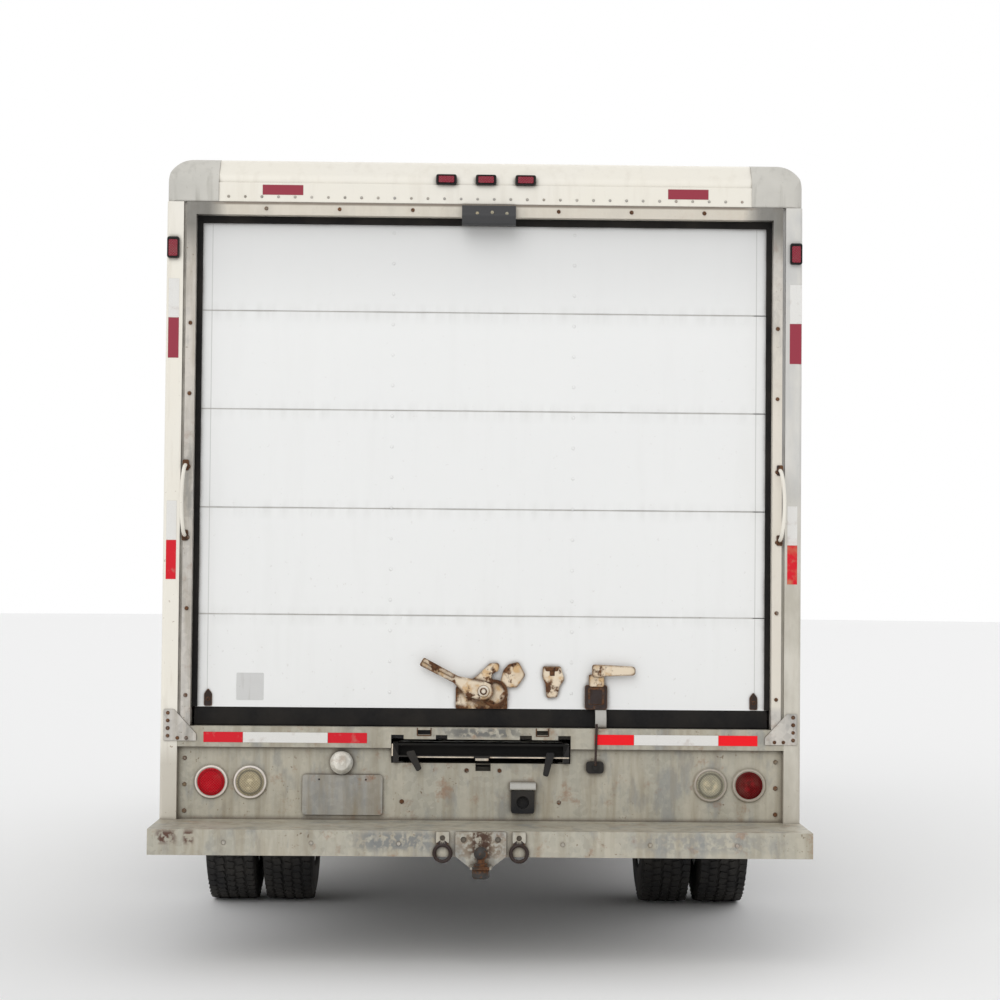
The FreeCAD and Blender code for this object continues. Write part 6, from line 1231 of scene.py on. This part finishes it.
tankLow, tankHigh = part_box("fuel_tank")
x, y, z = filler = (tankLow[0] + 0.002, tankLow[1] + 0.14, tankHigh[2] - 0.10)
cap = stepped(0.052, 0.0, 0.052, 0.006, 0.044, 0.010, 0.044, 0.030, 0.040, 0.034, 0.012, 0.036)
grip = framed(*about(y, 0.030), *about(z, 0.006), 0.004)
Piece().turned(cap, filler, (-1, 0, 0), 32).prism(grip, "x", x - 0.044, x - 0.034, 0.002).done(
    "fuel_cap", "socket_black")
wings = nodes["front_fenders"]
foot = wings.ray_cast(Vector((0.88, 3.04, 1.6)), Vector((0, 0, -1)))[1]
rod = [foot + Vector(step) for step in ((0.0, 0.0, 0.0), (0.002, 0.0, 0.20), (0.006, 0.004, 0.66))]
Piece().turned(stepped(0.016, -0.012, 0.016, 0.006, 0.008, 0.016), foot, up, 18).tube(rod, 0.0024, 6).done(
    "aerial", "socket_black")
print("cab fittings made")

# Side marker lamps low on the wings, following the panel behind them
sideMarker = dict(rear=3.290, front=3.468, low=0.814, high=0.863, gap=0.004, thickness=0.010, level=0.890)
for side, sign in sides:
    def wingAt(y, z=sideMarker["level"]):
        return wings.ray_cast(Vector((sign * 1.4, y, z)), Vector((-sign, 0, 0)))[1].x * sign
    rear, front = sideMarker["rear"], sideMarker["front"]
    rearX = wingAt(rear)
    slope = (wingAt(front) - rearX) / (front - rear)
    proud = max(wingAt(y, z) - rearX - slope * (y - rear)
                for y in (3.32, 3.36, 3.40, 3.43, 3.45) for z in (0.828, 0.834, 0.840, 0.846))
    thick = max(sideMarker["thickness"], proud + sideMarker["gap"])
    for part, inset, top, finishName in (("base", 0.0, thick, "socket_black"),
                                         ("lens", 0.007, thick + 0.004, "lens_amber")):
        first, last = rear + inset, front - inset
        corners = [(first, -0.003), (first, top * 0.6), (first + 0.012, top), (last - 0.012, top),
                   (last, top * 0.6), (last, -0.003)]
        Piece().prism([(sign * (rearX + slope * (y - rear) + lift), y) for y, lift in corners], "z",
                      sideMarker["low"] + inset, sideMarker["high"] - inset, 0.002).done(
            "side_marker_%s_%s" % (part, side), finishName)


# Seats: padded cloth cushions on moulded pans, with belts beside them

seat = dict(x=0.48, y=1.575, z=0.800, voxel=0.010, pressure=4.0, cap=0.024, piping=0.0045, pipingStep=0.02,
            channel=0.006, channelWidth=0.011, frames=20, fill=0.75)


def inflated(name, block, restZ, channels):
    # Cloth filled with pressure, capped, flat where it rests, with sewn channels pressed in afterwards
    bmesh.ops.recalc_face_normals(block.build, faces=block.build.faces)
    mesh = bpy.data.meshes.new(name + "_start")
    block.build.to_mesh(mesh)
    pad = linked(name + "_start", mesh)
    remesh = pad.modifiers.new("voxels", "REMESH")
    remesh.mode, remesh.voxel_size = "VOXEL", seat["voxel"]
    pad.data = meshOf(pad)
    pad.modifiers.clear()
    start = [vertex.co.copy() for vertex in pad.data.vertices]
    cloth = pad.modifiers.new("filling", "CLOTH")
    settings = cloth.settings
    settings.quality, settings.mass, settings.air_damping = 6, 0.4, 3.0
    settings.tension_stiffness = settings.compression_stiffness = 14.0
    settings.bending_stiffness = 1.5
    settings.use_pressure, settings.uniform_pressure_force = True, seat["pressure"]
    settings.effector_weights.gravity = 0.0
    cloth.collision_settings.use_collision = False
    cloth.point_cache.frame_start, cloth.point_cache.frame_end = 1, seat["frames"]
    for frame in range(1, seat["frames"] + 1):
        scene.frame_set(frame)
    swollen = meshOf(pad)
    pad.modifiers.clear()
    for vertex, moved, before in zip(pad.data.vertices, swollen.vertices, start):
        step = moved.co - before
        step.length = min(step.length, seat["cap"])
        vertex.co = before + step
    scene.frame_set(1)
    build = bmesh.new()
    build.from_mesh(pad.data)
    bmesh.ops.smooth_vert(build, verts=build.verts, factor=0.5, use_axis_x=True, use_axis_y=True,
                          use_axis_z=True)
    build.normal_update()
    pulls = []
    for vertex in build.verts:
        pull = 0.0
        for low, high in channels:
            side = (high - low).normalized()
            share = max(0.0, min((high - low).length, (vertex.co - low).dot(side)))
            away = (vertex.co - low - side * share).length
            pull = max(pull, math.exp(-(away / seat["channelWidth"]) ** 2))
        pulls.append(vertex.normal * pull * seat["channel"])
    for vertex, pull in zip(build.verts, pulls):
        vertex.co -= pull
        if restZ is not None:
            vertex.co.z = max(vertex.co.z, restZ)
    build.to_mesh(pad.data)
    build.free()
    rounder = pad.modifiers.new("rounder", "SUBSURF")
    rounder.levels = rounder.render_levels = 1
    shape = meshOf(pad)
    bpy.data.objects.remove(pad)
    return shape


def nearestOn(shape, places):
    tree = kdtree.KDTree(len(shape.vertices))
    for index, vertex in enumerate(shape.vertices):
        tree.insert(vertex.co, index)
    tree.balance()
    return [shape.vertices[tree.find(place)[1]].co.copy() for place in places]


def padBlock(corners, half, radius, plan):
    # A block with a rounded side profile whose ends are also rounded
    outline, rings = rounded(corners, radius, 5), []
    middleY, middleZ = (sum(values) / len(corners) for values in zip(*corners))
    for x, share in ((-half, 0.90), (-half + plan * 0.3, 0.965), (-half + plan, 1.0), (half - plan, 1.0),
                     (half - plan * 0.3, 0.965), (half, 0.90)):
        rings.append([(x, middleY + (y - middleY) * share, middleZ + (z - middleZ) * share)
                      for y, z in outline])
    return Piece().rings(rings)


def atSeat(*places):
    # Places measured from the seat's own foot
    return [(seat["y"] + y, seat["z"] + z) for y, z in places]


def channel(first, second):
    return tuple(Vector((x, seat["y"] + y, seat["z"] + z)) for x, y, z in (first, second))


def lineOver(low, high, half, radius, depth):
    # Path of the piping round one pad, as seen from the front
    return [(x, depth(z), z) for x, z in framed(-half, half, seat["z"] + low, seat["z"] + high, radius)]


seatY, seatZ = seat["y"], seat["z"]
pads = {
    "cushion": (padBlock(atSeat((0.082, 0.268), (0.560, 0.276), (0.566, 0.352), (0.082, 0.332)),
                         0.228, 0.030, 0.05), seatZ + 0.262,
                [channel((x, 0.12, 0.356), (x, 0.53, 0.374)) for x in (-0.13, 0.13)]
                + [channel((-0.13, along, 0.362), (0.13, along, 0.362)) for along in (0.24, 0.36, 0.48)],
                [(x, y, seatZ + 0.345)
                 for x, y in framed(-0.235, 0.235, seatY + 0.07, seatY + 0.575, 0.05)]),
    "back": (padBlock(atSeat((0.078, 0.350), (0.170, 0.372), (0.094, 0.895), (0.008, 0.890)),
                      0.218, 0.030, 0.05), None,
             [channel((x, 0.186, 0.42), (x, 0.118, 0.86)) for x in (-0.125, 0.125)]
             + [channel(*((x, 0.178 - rise * 0.157, 0.46 + rise) for x in (-0.125, 0.125)))
                for rise in (0.0, 0.11, 0.22, 0.33)],
             lineOver(0.36, 0.905, 0.222, 0.05, lambda z: seatY + 0.165 - (z - seatZ - 0.40) * 0.15)),
    "headrest": (padBlock(atSeat((0.020, 0.945), (0.078, 0.945), (0.084, 1.095), (0.014, 1.095)),
                          0.098, 0.022, 0.03), None, [],
                 lineOver(0.945, 1.100, 0.102, 0.03, lambda z: seatY + 0.078)),
}
shapes = {name: inflated("pad_" + name, *values[:3]) for name, values in pads.items()}
seatPads = []
for side, sign in sides:
    shift = Vector((sign * seat["x"], 0, 0))
    x = shift.x
    for part, shape in shapes.items():
        cover = Piece()
        cover.build.from_mesh(shape)
        bmesh.ops.translate(cover.build, verts=cover.build.verts, vec=shift)
        seatPads.append(cover.done("seat_%s_%s" % (part, side), "seat_cloth", sharpAngle=80))
        path = nearestOn(shape, filledIn(pads[part][3], seat["pipingStep"]))
        Piece().tube([place + shift for place in path], seat["piping"], 6, closed=True).done(
            "seat_piping_%s_%s" % (part, side), "seat_piping")
    # Seat pan, pedestal, slides, posts of the head rest and the sides of the back shell
    frame = Piece().prism(framed(*about(x, 0.240), seatY + 0.050, seatY + 0.575, 0.05), "z", seatZ + 0.228,
                          seatZ + 0.262, 0.008)
    frame.prism(rounded(atSeat((0.090, 0.012), (0.520, 0.012), (0.480, 0.230), (0.110, 0.230)), 0.015), "x",
                *about(x, 0.118), 0.004)
    for rail in (-0.150, 0.150):
        for half, rear, front, low, high in ((0.018, 0.080, 0.540, 0.001, 0.022),
                                             (0.012, 0.10, 0.50, 0.021, 0.229)):
            frame.slab(about(x + rail, half), (seatY + rear, seatY + front), (seatZ + low, seatZ + high),
                       0.003)
    for post in (-0.05, 0.05):
        frame.tube([(x + post, y, z) for y, z in atSeat((0.052, 0.88), (0.048, 0.96))], 0.006, 10)
    shell = rounded(atSeat((0.030, 0.262), (0.120, 0.262), (0.085, 0.47), (0.030, 0.47)), 0.02)
    for edge in (-1, 1):
        frame.prism(shell, "x", x + edge * 0.243, x + edge * 0.250, 0.002)
    frame.done("seat_frame_" + side, "trim_black")
    beltFrom, beltTo, beltX, buckle = seatZ + 0.12, seatZ + 0.98, sign * 0.9345, sign * (seat["x"] - 0.285)
    webbing = Piece().slab((beltX, beltX + sign * 0.0016), (1.470, 1.516), (beltFrom, beltTo))
    webbing.done("belt_" + side, "belt_webbing")
    guide = Piece()
    for level in (beltTo, beltFrom):
        guide.prism(framed(1.458, 1.528, *about(level, 0.028), 0.010), "x", sign * 0.926, sign * 0.944,
                    0.003)
    guide.tube([(buckle, y, z) for y, z in atSeat((0.20, 0.23), (0.215, 0.36))], 0.006)
    guide.slab(about(buckle, 0.012), (seatY + 0.192, seatY + 0.244), (seatZ + 0.35, seatZ + 0.43), 0.004)
    guide.done("belt_guides_" + side, "trim_black")
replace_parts(seatPads[0], "cab_seats")
print("seats filled and trimmed")


# Cab inside: instruments, controls, visors and mirror

upperFace, upperFacing = (2.705, 1.2545), (0, -0.747, 0.664)
lowerFace, lowerFacing = (2.695, 1.150), (0, -0.894, -0.447)
dialFacing = Vector((0, -0.986, 0.164))
dash, dials, bright = Piece(), Piece(), Piece()


def vent():
    part = Piece()
    outer, inner = framed(-0.080, 0.080, -0.034, 0.034, 0.010), framed(-0.072, 0.072, -0.026, 0.026, 0.006)
    part.levels("y", (outer, 0.004), (outer, -0.005), (inner, -0.006), (inner, 0.004))
    for level in (-0.018, -0.006, 0.006, 0.018):
        slat = ((-0.001, -0.004), (0.000, -0.005), (-0.005, 0.004), (-0.006, 0.003))
        part.prism([(y, level + z) for y, z in slat], "x", -0.073, 0.073)
    return part


def plaque(half, tall, radius, front, behind, bevel):
    return Piece().prism(framed(-half, half, -tall, tall, radius), "y", front, behind, bevel)


for x in (-0.83, -0.12, 0.32, 0.83):
    dash.tilted(vent(), (x, *upperFace), upperFacing)
dash.tilted(plaque(0.095, 0.027, 0.006, -0.006, 0.003, 0.002), (0.10, *upperFace), upperFacing)
dials.tilted(plaque(0.050, 0.012, 0.003, -0.0075, 0.0, 0.001), (0.10, *upperFace), upperFacing)
for x in (0.022, 0.178):
    bright.turned(stepped(0.011, 0.0, 0.011, 0.016, 0.009, 0.019),
                  (x, upperFace[0] - 0.004, upperFace[1] + 0.003), upperFacing, 20)
dash.tilted(plaque(0.190, 0.045, 0.010, -0.004, 0.002, 0.002), (0.52, *lowerFace), lowerFacing)
bright.turned(stepped(0.012, 0.0, 0.012, 0.008, 0.009, 0.011),
              (0.52, lowerFace[0] - 0.010, lowerFace[1] + 0.022), lowerFacing, 20)
needle = Vector((0.7, 0.1, 0.6)).normalized()
for x, radius in ((-0.560, 0.045), (-0.450, 0.045), (-0.372, 0.022), (-0.635, 0.022)):
    centre = Vector((x, 2.6845, 1.279))
    dash.turned([(radius, -0.002), (radius, 0.005), (radius - 0.003, 0.007), (radius - 0.006, 0.003),
                 (radius - 0.006, -0.002)], centre, dialFacing, 32, closed=True)
    dials.turned([(radius - 0.006, -0.001), (radius - 0.006, 0.0015)], centre, dialFacing, 32)
    root = centre + dialFacing * 0.003
    bright.tube([root, root + needle * (radius - 0.012)], 0.0008, 5)
    for turn in range(9):
        angle = math.radians(-130 + turn * 32.5)
        tick = Vector((math.sin(angle), 0, math.cos(angle)))
        bright.tube([centre + dialFacing * 0.0018 + tick * (radius - off) for off in (0.014, 0.008)], 0.0006,
                    4)
dash.done("dash_fittings", "trim_black")
dials.done("dial_faces", "dial_face")

controls, blacks = Piece(), Piece()
for x, foot, tall in ((-0.640, 2.770, 0.032), (-0.530, 2.770, 0.032), (-0.400, 2.800, 0.070)):      # pedals
    controls.tube([(x, 2.860, 1.100), (x, 2.855, 1.040), (x, 2.815, 0.980), (x, foot + 0.010, 0.960)], 0.007)
    blacks.prism(framed(*about(x, 0.030), *about(0.955, tall), 0.006), "y", foot, foot + 0.012, 0.003)
lever = [(0.0, 2.300, 0.800), (0.0, 2.300, 0.86), (-0.005, 2.296, 0.95), (-0.022, 2.285, 1.03),
         (-0.045, 2.270, 1.105)]
controls.tube(lever, 0.008, 10)
blacks.turned(stepped(0.075, 0.0, 0.070, 0.010, 0.058, 0.014, 0.056, 0.026, 0.042, 0.030, 0.040, 0.044,
                      0.026, 0.048, 0.024, 0.064, 0.012, 0.074), lever[0], up, 28)
blacks.turned(stepped(0.010, 0.0, 0.022, 0.012, 0.027, 0.028, 0.022, 0.044, 0.010, 0.052), lever[-1],
              Vector(lever[-1]) - Vector(lever[-2]))
columnEnd, column = Vector((-0.48, 2.515, 1.340)), Vector((0, 1, -1)).normalized()
root = columnEnd + column * 0.115
stalk = ((0.03, 0), (0.12, 0.008), (0.185, 0.02))
for sign in (-1, 1):
    blacks.tube([root + Vector((sign * x, -drop, drop)) for x, drop in stalk], 0.007)
controls.tube([(0, 2.495, 2.058), (0, 2.480, 1.985), (0, 2.465, 1.945)], 0.006)
blacks.slab((-0.130, 0.130), (2.452, 2.474), (1.895, 1.965), 0.006)
pane = Piece().prism(framed(-0.123, 0.123, 1.902, 1.958, 0.010), "y", 2.4495, 2.453, 0.0006)
pane.done("rear_view_glass", "mirror_glass")
visor = rounded([(2.330, 2.028), (2.480, 2.004), (2.483, 2.020), (2.332, 2.045)], 0.006)
for low, high in ((-0.70, -0.20), (0.20, 0.70)):
    blacks.prism(visor, "x", low, high, 0.004)
    controls.tube([(low, 2.484, 2.013), (high, 2.484, 2.013)], 0.005)
    for x in (low + 0.01, high - 0.01):
        controls.tube([(x, 2.484, 2.013), (x, 2.492, 2.062)], 0.005)
controls.done("cab_controls", "dull_chrome")
blacks.done("cab_pads", "trim_black")
bright.done("dash_bright", "dull_chrome")
Piece().turned(stepped(0.030, -0.004, 0.062, -0.004, 0.068, 0.004, 0.066, 0.014, 0.054, 0.022, 0.020, 0.025),
               columnEnd - column * 0.004, -column, 36).done("steering_pad", "trim_black", "steering_wheel")
print("cab inside fitted")


# Underside and chassis: fasteners, brake lines and tank straps

rail = dict(x=0.432, heights=(0.585, 0.695), first=-2.95, pitch=0.45, count=12)
boltRows = [((sign * rail["x"], rail["first"] + rail["pitch"] * index, z), (sign, 0, 0))
            for sign in (-1, 1) for index in range(rail["count"]) for z in rail["heights"]]
scatter("frame_rivets", boltRows, "dome", "cast_iron", slot="frame_black", radius=0.011, height=0.006,
        seed=21)

brakeLine = dict(radius=0.0035, lifts=(0.0, 0.014), path=(
    (0.380, 2.60, 0.620), (0.395, 2.20, 0.600), (0.398, 1.20, 0.598), (0.398, 0.20, 0.598),
    (0.398, -0.90, 0.598), (0.392, -1.20, 0.602)))
lines = Piece()
for lift in brakeLine["lifts"]:
    lines.tube([(x, y, z + lift) for x, y, z in brakeLine["path"]], brakeLine["radius"], 6)
lines.done("brake_lines", "socket_black")
strap = dict(thickness=0.003, half=0.020, inset=0.16, corner=0.033, step=0.013)
straps, half = Piece(), strap["half"]
outer, inner = (framed(tankLow[0] - grow, tankHigh[0] - strap["step"] + grow, tankLow[2] - grow,
                       tankHigh[2] + grow, strap["corner"] + grow * 2 / 3)
                for grow in (strap["thickness"], 0.0))
for y in (tankLow[1] + strap["inset"], tankHigh[1] - strap["inset"]):
    straps.levels("y", (outer, y - half), (outer, y + half), (inner, y + half), (inner, y - half))
straps.done("tank_straps", "cast_iron")
print("chassis fitted")


# Studio

studio = dict(floorColour=(0.93, 0.93, 0.93), floorReach=60.0, skyLevel=0.66)
suns = dict(key_light=((0.35, 1.0, -0.75), 0.93, 50), fill_light=((-0.6, -1.0, -0.9), 0.45, 60))
view = dict(place=(-0.072, -11.723, 1.485), yaw=0.92, pitch=1.81, roll=0.51, lens=80.0388)

floorMesh, floorBuild = bpy.data.meshes.new("studio_floor"), bmesh.new()
bmesh.ops.create_circle(floorBuild, cap_ends=True, segments=96, radius=studio["floorReach"])
floorBuild.to_mesh(floorMesh)
floor = linked("studio_floor", floorMesh)
openMaterial("studio_floor", 0.9)
finish(studio["floorColour"])
floorMesh.materials.append(paint["studio_floor"])

world = scene.world = bpy.data.worlds.new("studio")
world.use_nodes = True
sky = active["tree"] = world.node_tree
sky.nodes.clear()
rays = addNode("ShaderNodeLightPath").outputs
seen = either(*(rays["Is %s Ray" % kind] for kind in ("Camera", "Glossy", "Transmission")))
backdrop = addNode("ShaderNodeBackground", {"Color": (1, 1, 1, 1),
                                            "Strength": spread(seen, 0, 1, studio["skyLevel"], 1.0)})
addNode("ShaderNodeOutputWorld", {"Surface": backdrop.outputs[0]})
for name, (direction, level, angle) in suns.items():
    lamp = bpy.data.lights.new(name, "SUN")
    lamp.energy, lamp.angle = level, math.radians(angle)
    holder = linked(name, lamp)
    holder.rotation_mode = "QUATERNION"
    holder.rotation_quaternion = Vector(direction).to_track_quat("-Z", "Y")

yaw, pitch = math.radians(view["yaw"]), math.radians(view["pitch"])
lookAlong = Vector((math.sin(yaw) * math.cos(pitch), math.cos(yaw) * math.cos(pitch), math.sin(pitch)))
camera = scene.camera = linked("camera", bpy.data.cameras.new("camera"))
camera.data.sensor_width, camera.data.lens = 36.0, view["lens"]
camera.location, camera.rotation_mode = view["place"], "QUATERNION"
roll = Quaternion((0, 0, 1), math.radians(view["roll"]))
camera.rotation_quaternion = lookAlong.to_track_quat("-Z", "Y") @ roll
scene.view_settings.view_transform = "Standard"
print("studio and camera made")
